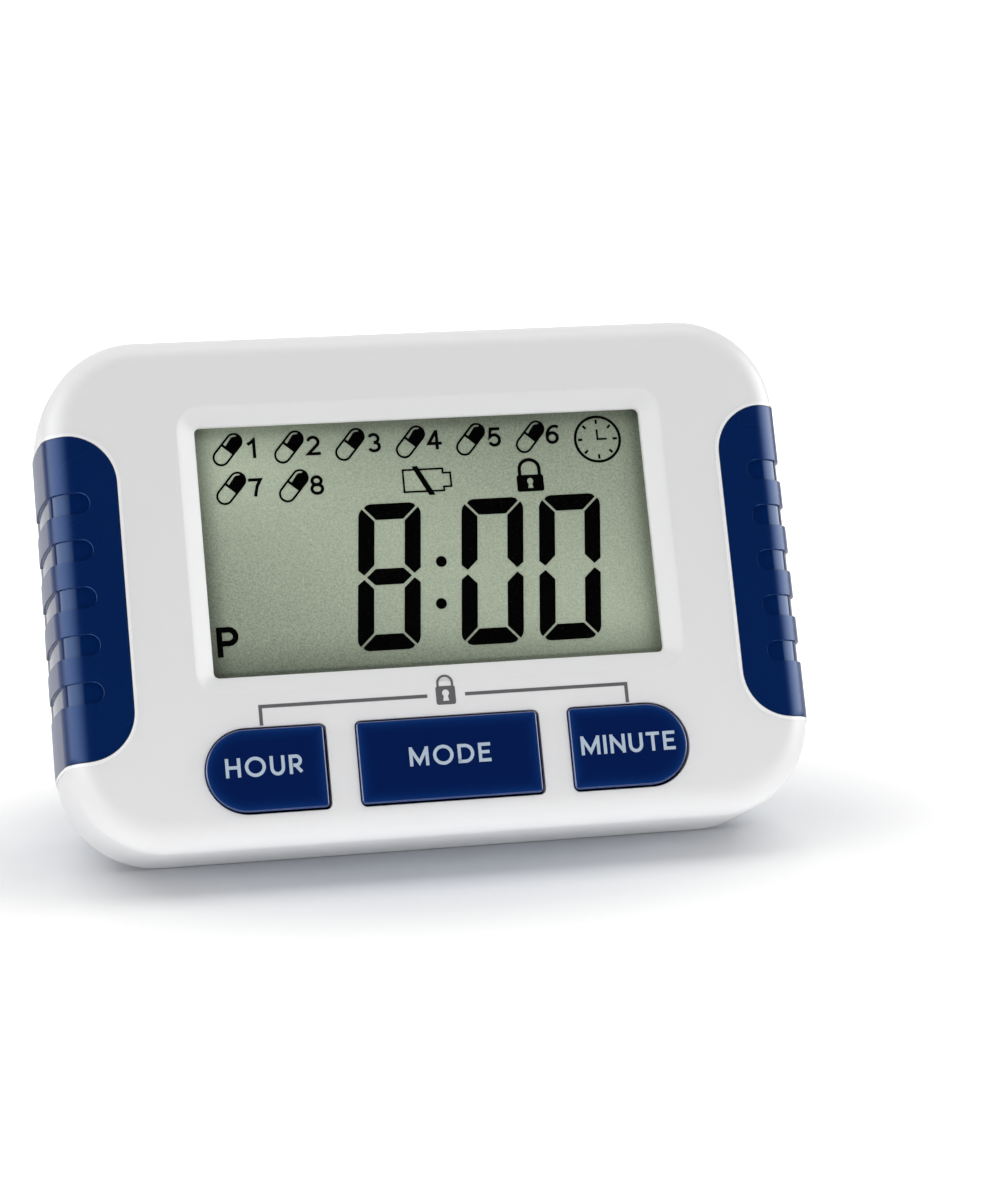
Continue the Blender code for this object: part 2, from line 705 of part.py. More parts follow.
def rear_shell():
    """The white rear half: pill compartments, battery bay, screw posts and hinge lugs."""
    front = FRONT_DEPTH + FIT / 2
    shell = rear_solid("rear_shell", 0, front, BODY_DEPTH, WHITE)
    rear_wall = BODY_DEPTH - REAR_WALL
    cut(shell, rear_solid("rear_cavity", WALL, front - OVERRUN, rear_wall))

    tray = ((-TRAY_HALF, front, BAY_HIGH), (TRAY_HALF, RIM_BACK + BITE, COMPARTMENT_HIGH + TRAY_RIM))
    bay = (
        (-BAY_HALF - BAY_END_WALL, BAY_FRONT, WALL + FIT * 2),
        (BAY_HALF + BAY_END_WALL, DOOR_FRONT, BAY_HIGH + BAY_TOP_WALL),
    )
    join(shell, box("tray_block", *tray), tray_brim(), bay_block(bay))
    posts = bmesh.new()
    for x, z in case_screws():
        add_round(posts, (x, front, z), (x, rear_wall + BITE, z), CASE_POST_RADIUS)
    join(shell, from_bmesh("rear_posts", posts))
    join(shell, boxes("shell_tabs", shell_tabs()))
    lugs, webs = bmesh.new(), []
    for left, right in hinge_spans(1):
        axis_y, axis_z = LID_AXIS.y, LID_AXIS.z
        add_round(lugs, (left, axis_y, axis_z), (right, axis_y, axis_z), BARREL_RADIUS)
        foot, rise = axis_y - HINGE_REACH - BITE, BARREL_RADIUS * LUG_WEB_SHARE
        webs.append(((left, foot, axis_z - rise), (right, axis_y, axis_z + rise)))

    for i, (left, right) in enumerate(compartment_boxes()):
        outline = rounded(left, right, COMPARTMENT_LOW, COMPARTMENT_HIGH, COMPARTMENT_CORNER, 3)
        cut(shell, slab(f"compartment_{i + 1}", outline, TRAY_FLOOR, BODY_DEPTH + OVERRUN))
    cut(shell, lid_recess())
    join(shell, from_bmesh("hinge_lugs", lugs), boxes("hinge_webs", webs))
    cut(shell, battery_cutter(), door_recess(), screw_holes(), sound_slots(), nail_notch())
    pin = HINGE_PIN_RADIUS + FIT
    start, end = (-HINGE_HALF, *LID_AXIS.yz), (HINGE_HALF, *LID_AXIS.yz)
    cut(shell, rod("hinge_bore", start, end, pin, sides=SMALL_SIDES))
    return shade(shell)


def tray_brim():
    """The thicker band round the mouth of the compartments that the lid's recess is cut in."""
    half = LID_HALF + FIT + TRAY_BRIM
    front = LID_AXIS.y - HINGE_REACH - TRAY_BRIM_THICK
    low = LID_LOW - FIT - TRAY_BRIM
    brim = box("tray_brim", (-half, front, low), (half, RIM_BACK + BITE, BODY_HEIGHT))
    limit = rear_solid("brim_limit", FIT * 2, front - OVERRUN, BODY_DEPTH)
    boolean(brim, limit, "INTERSECT")
    return brim


def bay_block(corners):
    """The battery bay's walls, kept inside the sloping base."""
    block = box("bay_block", *corners)
    boolean(block, rear_solid("bay_limit", FIT * 2, BAY_FRONT - OVERRUN * 2, BODY_DEPTH - FIT), "INTERSECT")
    return block


def lid_recess():
    """Where the lid lies: a shallow recess, deepened along the hinge."""
    side = LID_HALF + FIT
    low = LID_LOW - FIT
    back = BODY_DEPTH + OVERRUN
    recess = box("lid_recess", (-side, RIM_BACK, low), (side, back, LID_AXIS.z))
    trench = box(
        "hinge_trench",
        (-side, LID_AXIS.y - HINGE_REACH, LID_AXIS.z - HINGE_REACH),
        (side, back, BODY_HEIGHT + OVERRUN),
    )
    join(recess, trench)
    return recess


def battery_cutter():
    """Two round troughs for the cells, the mouth behind them and slots for the contacts."""
    cutter = rod(
        "cell_trough_low",
        (-BAY_HALF, CELL_DEPTH, CELL_LOW_UP),
        (BAY_HALF, CELL_DEPTH, CELL_LOW_UP),
        TROUGH_RADIUS,
    )
    upper = rod(
        "cell_trough_high",
        (-BAY_HALF, CELL_DEPTH, CELL_HIGH_UP),
        (BAY_HALF, CELL_DEPTH, CELL_HIGH_UP),
        TROUGH_RADIUS,
    )
    mouth = box(
        "bay_mouth",
        (-BAY_HALF, CELL_DEPTH, MOUTH_LOW),
        (BAY_HALF, BODY_DEPTH + OVERRUN, BAY_HIGH),
    )
    slots = []
    start = BAY_HALF - CONTACT_THICK - FIT * 2
    for up in (CELL_LOW_UP, CELL_HIGH_UP):
        half = TAB_WIDTH / 2 + FIT
        slots.append(((start, TAB_FRONT - FIT, up - half), (BAY_HALF, CELL_DEPTH, up + half)))
    half = CONTACT_SIDE / 2 + FIT
    ends = both_sides(
        (start, CELL_DEPTH - half, CELL_LOW_UP - half),
        (BAY_HALF, CELL_DEPTH + half, CELL_HIGH_UP + half),
    )
    join(cutter, upper, mouth, boxes("tab_slots", slots), boxes("contact_slots", ends))
    return cutter


def door_recess():
    """Where the battery door lies, with the two slots for its hooks."""
    side = DOOR_HALF + FIT
    cutter = box(
        "door_recess",
        (-side, DOOR_FRONT - FIT, DOOR_LOW - FIT),
        (side, BODY_DEPTH + OVERRUN, DOOR_HIGH + FIT),
    )
    half = DOOR_HOOK_WIDTH / 2 + FIT
    low = DOOR_LOW - DOOR_HOOK_REACH - FIT
    slots = both_sides(
        (DOOR_HOOK_OUT - half, DOOR_HOOK_DEPTH - FIT * 4, low),
        (DOOR_HOOK_OUT + half, DOOR_HOOK_DEPTH + DOOR_HOOK_THICK + FIT, MOUTH_LOW + FIT * 2),
    )
    join(cutter, boxes("door_hook_slots", slots))
    return cutter


def screw_holes():
    """The two case screws' holes: a wide well from behind, then clearance for the shank."""
    wells, shanks = bmesh.new(), bmesh.new()
    for x, z in case_screws():
        seat, back = (x, CASE_SEAT_DEPTH, z), (x, BODY_DEPTH + OVERRUN, z)
        add_round(wells, seat, back, CASE_HEAD_RADIUS + FIT, sides=SMALL_SIDES)
        front, past = (x, FRONT_DEPTH - OVERRUN, z), (x, CASE_SEAT_DEPTH + BITE, z)
        add_round(shanks, front, past, CASE_SCREW_RADIUS + FIT, sides=SMALL_SIDES)
    holes = from_bmesh("case_screw_wells", wells)
    join(holes, from_bmesh("case_shank_holes", shanks))
    return holes


def sound_slots():
    """Three slots through the rear wall that let the buzzer out."""
    corners = []
    for i in range(SOUND_SLOTS):
        low = SOUND_SLOT_LOW + SOUND_SLOT_PITCH * i
        half = SOUND_SLOT_WIDTH / 2
        corners.append(
            (
                (SOUND_SLOT_OUT - half, BODY_DEPTH - WALL - OVERRUN, low),
                (SOUND_SLOT_OUT + half, BODY_DEPTH + OVERRUN, low + SOUND_SLOT_HEIGHT),
            )
        )
    return boxes("sound_slots", corners)


def nail_notch():
    """The notch under the lid's edge where a fingernail lifts it."""
    half = LID_NOTCH_WIDTH / 2
    top = LID_LOW
    return box(
        "nail_notch",
        (-half, BODY_DEPTH - LID_NOTCH_DEPTH, top - LID_NOTCH_HEIGHT),
        (half, BODY_DEPTH + OVERRUN, top + FIT),
    )


def pill_lid():
    """The lid over the five compartments, with its half of the hinge barrel."""
    origin = LID_AXIS
    corner = COMPARTMENT_CORNER / 2
    outline = rounded(-LID_HALF, LID_HALF, LID_LOW, HINGE_UP + FIT, corner, 3)
    lid = slab("pill_lid", outline, LID_FRONT, BODY_DEPTH, WHITE, origin)
    barrels = bmesh.new()
    gaps = bmesh.new()
    axis_y, axis_z = LID_AXIS.y, LID_AXIS.z
    for left, right in hinge_spans(0):
        add_round(barrels, (left, axis_y, axis_z), (right, axis_y, axis_z), BARREL_RADIUS)
    for left, right in hinge_spans(1):
        add_box(
            gaps,
            (left - FIT, axis_y - HINGE_REACH, axis_z - HINGE_REACH),
            (right + FIT, BODY_DEPTH + OVERRUN, axis_z + HINGE_REACH),
        )
    join(lid, from_bmesh("lid_barrels", barrels))
    boolean(lid, rear_solid("lid_limit", 0, FRONT_DEPTH, BODY_DEPTH), "INTERSECT")
    half = LID_TONGUE_WIDTH / 2
    low = COMPARTMENT_LOW + FIT
    tongue = box(
        "lid_tongue",
        (-half, LID_FRONT - LID_TONGUE_REACH, low),
        (half, LID_FRONT + BITE, low + LID_TONGUE_THICK),
    )
    join(lid, tongue)
    bore = rod(
        "lid_bore",
        (-LID_HALF - OVERRUN, axis_y, axis_z),
        (LID_HALF + OVERRUN, axis_y, axis_z),
        HINGE_PIN_RADIUS + FIT,
        sides=SMALL_SIDES,
    )
    cut(lid, from_bmesh("lid_hinge_gaps", gaps), bore)
    return shade(lid)


def lid_hinge_pin():
    axis_y, axis_z = LID_AXIS.y, LID_AXIS.z
    start, end = (-HINGE_HALF, axis_y, axis_z), (HINGE_HALF, axis_y, axis_z)
    pin = rod("lid_hinge_pin", start, end, HINGE_PIN_RADIUS, STEEL, LID_AXIS, SMALL_SIDES)
    return shade(pin)


def battery_door():
    """The battery door: it tilts out about its rounded lower edge, and then lifts off."""
    axis_y, axis_z = DOOR_AXIS.y, DOOR_AXIS.z
    profile = arc((axis_y, axis_z), DOOR_RADIUS, pi, pi)
    profile += [(BODY_DEPTH, DOOR_HIGH), (DOOR_FRONT, DOOR_HIGH)]
    door = bar("battery_door", profile, -DOOR_HALF, DOOR_HALF, WHITE, DOOR_AXIS)
    half = DOOR_HOOK_WIDTH / 2
    low = DOOR_LOW - DOOR_HOOK_REACH
    back = DOOR_HOOK_DEPTH + DOOR_HOOK_THICK
    blades = both_sides(
        (DOOR_HOOK_OUT - half, DOOR_HOOK_DEPTH, low),
        (DOOR_HOOK_OUT + half, back, axis_z - BASE_FILLET / 4),
    )
    roots = both_sides(
        (DOOR_HOOK_OUT - half, DOOR_HOOK_DEPTH, axis_z - DOOR_HOOK_THICK),
        (DOOR_HOOK_OUT + half, axis_y, axis_z - BASE_FILLET / 4),
    )
    join(door, boxes("door_hook_blades", blades), boxes("door_hook_roots", roots))
    inner, low = DOOR_FINGER_WIDTH / 2, DOOR_HIGH - DOOR_FINGER_LENGTH
    slits = both_sides(
        (inner, DOOR_FRONT - OVERRUN, low),
        (inner + DOOR_FINGER_SLIT, BODY_DEPTH + OVERRUN, DOOR_HIGH + OVERRUN),
    )
    cut(door, boxes("door_finger_slits", slits))
    ridges = bmesh.new()
    reach = inner * DOOR_RIDGE_SHARE
    for i in range(DOOR_RIDGES):
        up = DOOR_HIGH - DOOR_RIDGE_PITCH * (i + 1)
        depth = BODY_DEPTH - DOOR_RIDGE_SINK
        add_round(ridges, (-reach, depth, up), (reach, depth, up), DOOR_RIDGE_RADIUS, sides=SMALL_SIDES)
    join(door, from_bmesh("door_ridges", ridges))
    return shade(door)


def grips():
    """The two navy rubber grips: skins that wrap the sides, each with five finger slots."""
    back = FRONT_DEPTH - FIT / 2
    for side, label in ((-1, "left"), (1, "right")):
        grip = slab(label + "_grip", grip_outline(side), -OVERRUN, back, NAVY_RUBBER)
        boolean(grip, front_solid(label + "_grip_form", -GRIP_PROUD, back + OVERRUN), "INTERSECT")
        cut(grip, front_solid(label + "_grip_back", GRIP_THICK, back + OVERRUN * 2))
        slots = finger_slots(label, side, back)
        cut(slots, front_solid(label + "_slot_floor", SLOT_DEPTH - GRIP_PROUD, back + OVERRUN * 2))
        cut(grip, slots)
        shade(grip, radians(30))


def finger_slots(label, side, back):
    """Five blades with round inner ends, repeated up the grip."""
    lowest = (GRIP_LOW + GRIP_HIGH - SLOT_PITCH * (SLOT_COUNT - 1)) / 2
    radius = SLOT_HEIGHT / 2
    outer = BODY_WIDTH / 2 + OVERRUN
    outline = arc((SLOT_INNER + radius, lowest), radius, pi / 2, pi)
    outline += [(outer, lowest - radius), (outer, lowest + radius)]
    outline = [(x * side, z) for x, z in outline]
    slots = slab(label + "_grip_slots", outline, -OVERRUN, back + OVERRUN)
    repeat = slots.modifiers.new("up_the_grip", "ARRAY")
    repeat.count = SLOT_COUNT
    repeat.use_relative_offset = False
    repeat.use_constant_offset = True
    repeat.constant_offset_displace = (0, 0, SLOT_PITCH)
    return slots


def buttons():
    """Three caps that slide in their holes, each with a flange behind the face and a stem."""
    centres = {"hour_button": -SIDE_BUTTON_AT, "mode_button": 0.0, "minute_button": SIDE_BUTTON_AT}
    caps, flanges = button_outlines(FIT), button_outlines(-FLANGE_LIP)
    for name, x in centres.items():
        origin = (x, 0, BUTTON_UP)
        cap = slab(name, caps[name], -BUTTON_PROUD, FLANGE_FRONT + BITE, NAVY, origin)
        soften(cap, BUTTON_EDGE, segments=2)
        flange = slab(name + "_flange", flanges[name], FLANGE_FRONT, FLANGE_FRONT + FLANGE_THICK)
        stem = rod(
            name + "_stem",
            (x, FLANGE_FRONT + FLANGE_THICK - BITE, BUTTON_UP),
            (x, DOME_FRONT - FIT, BUTTON_UP),
            STEM_RADIUS,
            sides=SMALL_SIDES,
        )
        join(cap, flange, stem)
        shade(cap)


def keypad():
    """The silicone mat on the board: three hollow domes, each with a contact pill inside."""
    half = SIDE_BUTTON_OUTER + KEYPAD_MARGIN
    rise = BUTTON_HEIGHT / 2 + KEYPAD_EDGE
    outline = rounded(-half, half, BUTTON_UP - rise, BUTTON_UP + rise, DOME_SKIN, 2)
    mat = slab("keypad", outline, KEYPAD_FRONT, KEYPAD_BACK, SILICONE)
    domes, hollows, pills = bmesh.new(), bmesh.new(), bmesh.new()
    roof = DOME_FRONT + DOME_SKIN
    for x in (-SIDE_BUTTON_AT, 0, SIDE_BUTTON_AT):
        base, top = (x, KEYPAD_FRONT + BITE, BUTTON_UP), (x, DOME_FRONT, BUTTON_UP)
        add_round(domes, base, top, DOME_RADIUS, DOME_TOP_RADIUS, SMALL_SIDES)
        low, high = (x, KEYPAD_BACK + OVERRUN, BUTTON_UP), (x, roof, BUTTON_UP)
        inner = DOME_TOP_RADIUS - DOME_SKIN / 2
        add_round(hollows, low, high, inner, sides=SMALL_SIDES)
        end = (x, roof + PILL_LENGTH, BUTTON_UP)
        add_round(pills, (x, roof - DOME_SKIN / 2, BUTTON_UP), end, PILL_RADIUS, sides=SMALL_SIDES)
    join(mat, from_bmesh("keypad_domes", domes))
    cut(mat, from_bmesh("keypad_hollows", hollows))
    join(mat, from_bmesh("keypad_pills", pills))
    return shade(mat)


def window_box(margin, front, back):
    """Corners of a box centred on the window, wider than it by a margin all round."""
    half, rise = WINDOW_WIDTH / 2 + margin, WINDOW_HEIGHT / 2 + margin
    return (-half, front, WINDOW_UP - rise), (half, back, WINDOW_UP + rise)


def display():
    """Clear lens, liquid crystal panel, its frame and the rubber strip to the board."""
    low, high = window_box(LENS_MARGIN, LENS_FRONT, LENS_FRONT + LENS_THICK)
    box("display_lens", low, high, CLEAR)
    low, high = window_box(LCD_MARGIN, LCD_FRONT, LCD_BACK)
    panel = box("lcd_panel", low, high, LCD_GREY)
    ledge = box(
        "lcd_ledge",
        (low[0] - OVERRUN, LCD_FRONT + LCD_GLASS, low[2] - OVERRUN),
        (high[0] + OVERRUN, LCD_BACK + OVERRUN, low[2] + LCD_LEDGE),
    )
    cut(panel, ledge)
    lip = LCD_MARGIN + FIT
    low, high = window_box(lip + LCD_FRAME_WALL, LCD_FRONT, BOARD_FRONT - FIT)
    frame = box("lcd_frame", low, high, FRAME_WHITE)
    low, high = window_box(lip, LCD_FRONT - OVERRUN, LCD_BACK + FIT)
    cut(frame, box("lcd_pocket", low, high))
    low, high = window_box(LCD_MARGIN - LCD_SHELF, LCD_FRONT, BOARD_FRONT + OVERRUN)
    cut(frame, box("lcd_frame_opening", low, high))
    half = WINDOW_WIDTH / 2 + LCD_MARGIN - ZEBRA_MARGIN
    base = WINDOW_UP - WINDOW_HEIGHT / 2 - LCD_MARGIN + ZEBRA_MARGIN / 2
    front = LCD_FRONT + LCD_GLASS + FIT
    zebra = ((-half, front, base), (half, BOARD_FRONT - FIT, base + ZEBRA_HEIGHT))
    box("zebra_strip", *zebra, ZEBRA)
    slot = (
        (-half - FIT, LCD_BACK, base - FIT),
        (half + FIT, BOARD_FRONT + OVERRUN, base + ZEBRA_HEIGHT + FIT),
    )
    cut(frame, box("zebra_slot", *slot))


def main_board():
    half = CAVITY_HALF - BOARD_MARGIN
    low, high = WALL + BOARD_MARGIN, BODY_HEIGHT - WALL - BOARD_MARGIN
    corner = BODY_CORNER - SIDE_WALL
    outline = rounded(-half, half, low, high, corner, 4)
    board = slab("main_board", outline, BOARD_FRONT, BOARD_BACK, BOARD_GREEN)
    bm = bmesh.new()
    for x, z in board_bosses():
        start, end = (x, BOARD_FRONT - OVERRUN, z), (x, BOARD_BACK + OVERRUN, z)
        add_round(bm, start, end, BOARD_SCREW_RADIUS + FIT, sides=SMALL_SIDES)
    for x, z in case_screws():
        start, end = (x, BOARD_FRONT - OVERRUN, z), (x, BOARD_BACK + OVERRUN, z)
        add_round(bm, start, end, CASE_BOSS_RADIUS + FIT, sides=SMALL_SIDES)
    cut(board, from_bmesh("board_holes", bm))


def board_parts():
    """Chip under its epoxy drop, crystal, capacitor and buzzer, on the board's back."""
    foot = BOARD_BACK + FIT
    bm = bmesh.new()
    tip = foot + CHIP_RISE
    shoulder = (foot + tip) / 2
    middle_radius = CHIP_RADIUS * cos(pi / 6)
    add_round(bm, (0, foot, CHIP_UP), (0, shoulder, CHIP_UP), CHIP_RADIUS, middle_radius, SMALL_SIDES)
    chip = from_bmesh("chip_blob", bm, EPOXY)
    bm = bmesh.new()
    start = (0, shoulder - BITE / 2, CHIP_UP)
    add_round(bm, start, (0, tip, CHIP_UP), middle_radius, CHIP_RADIUS / 2, SMALL_SIDES)
    join(chip, from_bmesh("chip_top", bm))
    shade(chip)

    half = CRYSTAL_LENGTH / 2
    depth = foot + CRYSTAL_RADIUS
    ends = (CRYSTAL_OUT, depth, CHIP_UP - half), (CRYSTAL_OUT, depth, CHIP_UP + half)
    shade(rod("crystal", *ends, CRYSTAL_RADIUS, STEEL, sides=SMALL_SIDES))

    half = CAPACITOR_LENGTH / 2
    depth = foot + CAPACITOR_RADIUS
    ends = (CAPACITOR_OUT, depth, CHIP_UP - half), (CAPACITOR_OUT, depth, CHIP_UP + half)
    shade(rod("capacitor", *ends, CAPACITOR_RADIUS, BLACK, sides=SMALL_SIDES))

    start, end = (BUZZER_OUT, foot, BUZZER_UP), (BUZZER_OUT, foot + BUZZER_THICK, BUZZER_UP)
    buzzer = rod("buzzer", start, end, BUZZER_RADIUS, BLACK)
    middle, past = (start[1] + end[1]) / 2, end[1] + OVERRUN
    start, end = (BUZZER_OUT, middle, BUZZER_UP), (BUZZER_OUT, past, BUZZER_UP)
    hole = rod("buzzer_hole", start, end, BUZZER_HOLE, sides=SMALL_SIDES)
    cut(buzzer, hole)
    shade(buzzer)


def screw(name, x, z, seat, head_radius, head_thick, radius, length):
    """A screw that points forwards: head towards the back, resting just off its seat."""
    under = seat + FIT
    top = under + head_thick
    piece = rod(name, (x, under, z), (x, top, z), head_radius, STEEL, (x, under, z), SMALL_SIDES)
    shank = rod(
        name + "_shank", (x, seat - length, z), (x, under + BITE, z), radius, sides=SMALL_SIDES
    )
    join(piece, shank)
    half, wide = DRIVER_LENGTH / 2, DRIVER_WIDTH / 2
    floor, past = top - DRIVER_DEPTH, top + OVERRUN
    bm = bmesh.new()
    add_box(bm, (x - half, floor, z - wide), (x + half, past, z + wide))
    slot = from_bmesh(name + "_slot", bm)
    upright = box(name + "_cross", (x - wide, floor, z - half), (x + wide, past, z + half))
    cut(piece, slot, upright)
    shade(piece)


def screws():
    for i, (x, z) in enumerate(board_bosses()):
        screw(
            f"board_screw_{i + 1}",
            x,
            z,
            BOARD_BACK,
            BOARD_SCREW_HEAD,
            BOARD_SCREW_HEAD_THICK,
            BOARD_SCREW_RADIUS,
            BOARD_SCREW_LENGTH,
        )
    for i, (x, z) in enumerate(case_screws()):
        screw(
            f"case_screw_{i + 1}",
            x,
            z,
            CASE_SEAT_DEPTH,
            CASE_HEAD_RADIUS,
            CASE_HEAD_THICK,
            CASE_SCREW_RADIUS,
            CASE_SCREW_LENGTH - FIT,
        )


def cell(name, up, side):
    """A dry cell lying across the box, with its nub towards one side (-1 or 1)."""
    flat = side * (END_STACK + SPRING_LENGTH + FIT - BAY_HALF)
    nub = side * (BAY_HALF - END_STACK)
    shoulder = nub - side * CELL_NUB_LENGTH
    bm = bmesh.new()
    add_round(bm, (flat, CELL_DEPTH, up), (shoulder, CELL_DEPTH, up), CELL_RADIUS)
    piece = from_bmesh(name, bm, CELL_GOLD)
    soften(piece, CELL_EDGE, segments=2)
    tip = rod(
        name + "_nub",
        (shoulder - side * BITE, CELL_DEPTH, up),
        (nub, CELL_DEPTH, up),
        CELL_NUB_RADIUS,
        sides=SMALL_SIDES,
    )
    join(piece, tip)
    shade(piece)


def spring_points(up, side):
    """The centre line of a tapering contact spring, wound by a formula."""
    wall = side * (END_STACK - BAY_HALF)
    steps = SPRING_CURLS * 10
    travel = SPRING_LENGTH - SPRING_WIRE * 2
    points = []
    for i in range(steps + 1):
        share = i / steps
        turn = 2 * pi * SPRING_CURLS * share
        radius = SPRING_BIG + (SPRING_SMALL - SPRING_BIG) * share
        x = wall + side * (SPRING_WIRE + travel * share)
        points.append(Vector((x, CELL_DEPTH + radius * cos(turn), up + radius * sin(turn))))
    return points


def tube(name, points, radius, material, resolution=1):
    """A wire along points: a curve with a round bevel and filled ends."""
    curve = bpy.data.curves.new(name, "CURVE")
    curve.dimensions = "3D"
    curve.bevel_depth = radius
    curve.bevel_resolution = resolution
    curve.use_fill_caps = True
    spline = curve.splines.new("POLY")
    spline.points.add(len(points) - 1)
    for target, point in zip(spline.points, points):
        target.co = (*point, 1)
    return place(bpy.data.objects.new(name, curve), material)


def least_gap(points, radius, curls):
    """The least clear distance between neighbouring curls of a coil."""
    apart = len(points) // curls // 2
    gaps = [
        (a - b).length - radius * 2
        for i, a in enumerate(points)
        for b in points[i + apart :]
    ]
    return min(gaps)


def springs():
    for name, up, side in (
        ("spring_lower", CELL_LOW_UP, 1),
        ("spring_upper", CELL_HIGH_UP, -1),
    ):
        points = spring_points(up, side)
        gap = least_gap(points, SPRING_WIRE, SPRING_CURLS)
        print(f"{name}: least gap between curls {gap * 1000:.2f} mm")
        tube(name, points, SPRING_WIRE, STEEL)


def contacts():
    """The bridge that joins the two cells on the left, and the two terminals on the right."""
    half = CONTACT_SIDE / 2
    outer = BAY_HALF - FIT
    inner = outer - CONTACT_THICK
    front, back = CELL_DEPTH - half, CELL_DEPTH + half
    box(
        "battery_bridge",
        (-outer, front, CELL_LOW_UP - half),
        (-inner, back, CELL_HIGH_UP + half),
        STEEL,
    )
    for name, up in (("positive_terminal", CELL_LOW_UP), ("negative_terminal", CELL_HIGH_UP)):
        terminal = box(name, (inner, front, up - half), (outer, back, up + half), STEEL)
        wide = TAB_WIDTH / 2
        tab = box(name + "_tab", (inner, TAB_FRONT, up - wide), (outer, front + BITE, up + wide))
        join(terminal, tab)


def curved(points, steps):
    """A smooth line through hand-chosen points (Catmull-Rom)."""
    knots = [points[0] * 2 - points[1], *points, points[-1] * 2 - points[-2]]
    line = []
    for a, b, c, d in zip(knots, knots[1:], knots[2:], knots[3:]):
        for i in range(steps):
            t = i / steps
            line.append(
                (b * 2 + (c - a) * t + (a * 2 - b * 5 + c * 4 - d) * t**2 + (b * 3 - a - c * 3 + d) * t**3) / 2
            )
    return [*line, points[-1]]


def battery_leads():
    """The insulated wires from the two terminals to the board's back."""
    depth = (BOARD_BACK + TAB_FRONT) / 2 + WIRE_RADIUS
    start_x = BAY_HALF - FIT - CONTACT_THICK - FIT - WIRE_RADIUS
    for name, up, share, material in (
        ("battery_lead_red", CELL_LOW_UP, 0.55, RED_WIRE),
        ("battery_lead_black", CELL_HIGH_UP, 0.75, BLACK_WIRE),
    ):
        end_x = BAY_HALF * share
        end_up = (CELL_HIGH_UP + BAY_HIGH) / 2
        foot = BOARD_BACK + FIT * 2
        points = [
            Vector((start_x, TAB_FRONT + WIRE_RADIUS, up)),
            Vector((start_x, depth, up)),
            Vector((start_x - BOARD_MARGIN, depth - FIT, (up + end_up) / 2)),
            Vector((end_x, depth, end_up)),
            Vector((end_x, foot, end_up)),
        ]
        tube(name, curved(points, WIRE_STEPS // 4 + 1), WIRE_RADIUS, material, 2)


def stand_on_floor():
    """Moves the leaning parent so that the box's footprint is centred on the origin."""
    bpy.context.view_layer.update()
    graph = bpy.context.evaluated_depsgraph_get()
    corners = []
    for obj in PARTS.objects:
        if obj.type == "EMPTY":
            continue
        seen = obj.evaluated_get(graph)
        mesh = seen.to_mesh()
        corners += [seen.matrix_world @ v.co for v in mesh.vertices]
        seen.to_mesh_clear()
    low = [min(c[i] for c in corners) for i in range(3)]
    high = [max(c[i] for c in corners) for i in range(3)]
    LEANING.location -= Vector(((low[0] + high[0]) / 2, (low[1] + high[1]) / 2, low[2]))


def main():
    front_shell()
    rear_shell()
    grips()
    buttons()
    keypad()
    display()
    main_board()
    board_parts()
    screws()
    pill_lid()
    lid_hinge_pin()
    battery_door()
    cell("cell_lower", CELL_LOW_UP, 1)
    cell("cell_upper", CELL_HIGH_UP, -1)
    springs()
    contacts()
    battery_leads()
    stand_on_floor()


main()
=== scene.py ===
# %% [markdown]
# # A pill box with an alarm timer
#
# The real thing is a white moulded box that leans back on its base. Its face carries a
# display behind a clear lens, three navy push buttons, and two navy rubber grips that wrap
# round the sides. Pills lie behind, under a hinged lid, above a pair of small dry cells.
#
# The CAD model is already packed, and it comes in here as a fixed frame. This script only
# dresses it: finer skins for what the eye lands on, and a finish for every piece.

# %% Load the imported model
import json
from math import cos, pi, radians, sin

import bmesh
import bpy
from mathutils import Matrix, Vector


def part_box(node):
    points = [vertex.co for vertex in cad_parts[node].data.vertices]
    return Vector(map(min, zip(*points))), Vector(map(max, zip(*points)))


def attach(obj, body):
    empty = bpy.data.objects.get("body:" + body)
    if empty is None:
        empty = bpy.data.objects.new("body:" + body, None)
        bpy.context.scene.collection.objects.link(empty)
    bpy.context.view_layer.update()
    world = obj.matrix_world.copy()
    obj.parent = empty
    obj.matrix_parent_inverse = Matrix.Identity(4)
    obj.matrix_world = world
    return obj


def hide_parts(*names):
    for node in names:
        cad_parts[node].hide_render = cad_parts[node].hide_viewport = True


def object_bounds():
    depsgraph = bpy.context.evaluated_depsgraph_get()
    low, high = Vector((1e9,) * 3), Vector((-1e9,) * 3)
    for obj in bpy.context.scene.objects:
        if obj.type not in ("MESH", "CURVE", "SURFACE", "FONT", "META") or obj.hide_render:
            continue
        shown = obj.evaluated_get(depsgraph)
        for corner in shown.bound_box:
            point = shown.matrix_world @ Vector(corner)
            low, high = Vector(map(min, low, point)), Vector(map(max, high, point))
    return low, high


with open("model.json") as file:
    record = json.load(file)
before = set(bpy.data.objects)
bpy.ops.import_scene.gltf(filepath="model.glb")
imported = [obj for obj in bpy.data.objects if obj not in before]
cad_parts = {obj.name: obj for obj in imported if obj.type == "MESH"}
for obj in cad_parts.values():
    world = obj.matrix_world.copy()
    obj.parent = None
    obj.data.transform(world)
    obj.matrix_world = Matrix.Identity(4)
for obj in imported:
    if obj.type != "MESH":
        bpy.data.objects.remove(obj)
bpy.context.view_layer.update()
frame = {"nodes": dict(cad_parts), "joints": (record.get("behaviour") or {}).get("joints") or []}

nodes = frame["nodes"]

# %% [markdown]
# ## A drawing board on the leaning face
#
# The box was drawn upright and then leaned back, so its face isn't square to the world.
# Drawing in world coordinates would mean a sine and a cosine in every line. Instead we keep
# one matrix that carries the face's own millimetres (x across, y into the box, z up the
# face) into the world's metres. Two joints of the model say where it is: a button slides
# straight into the face, and the lid's hinge lies at a known height and depth.

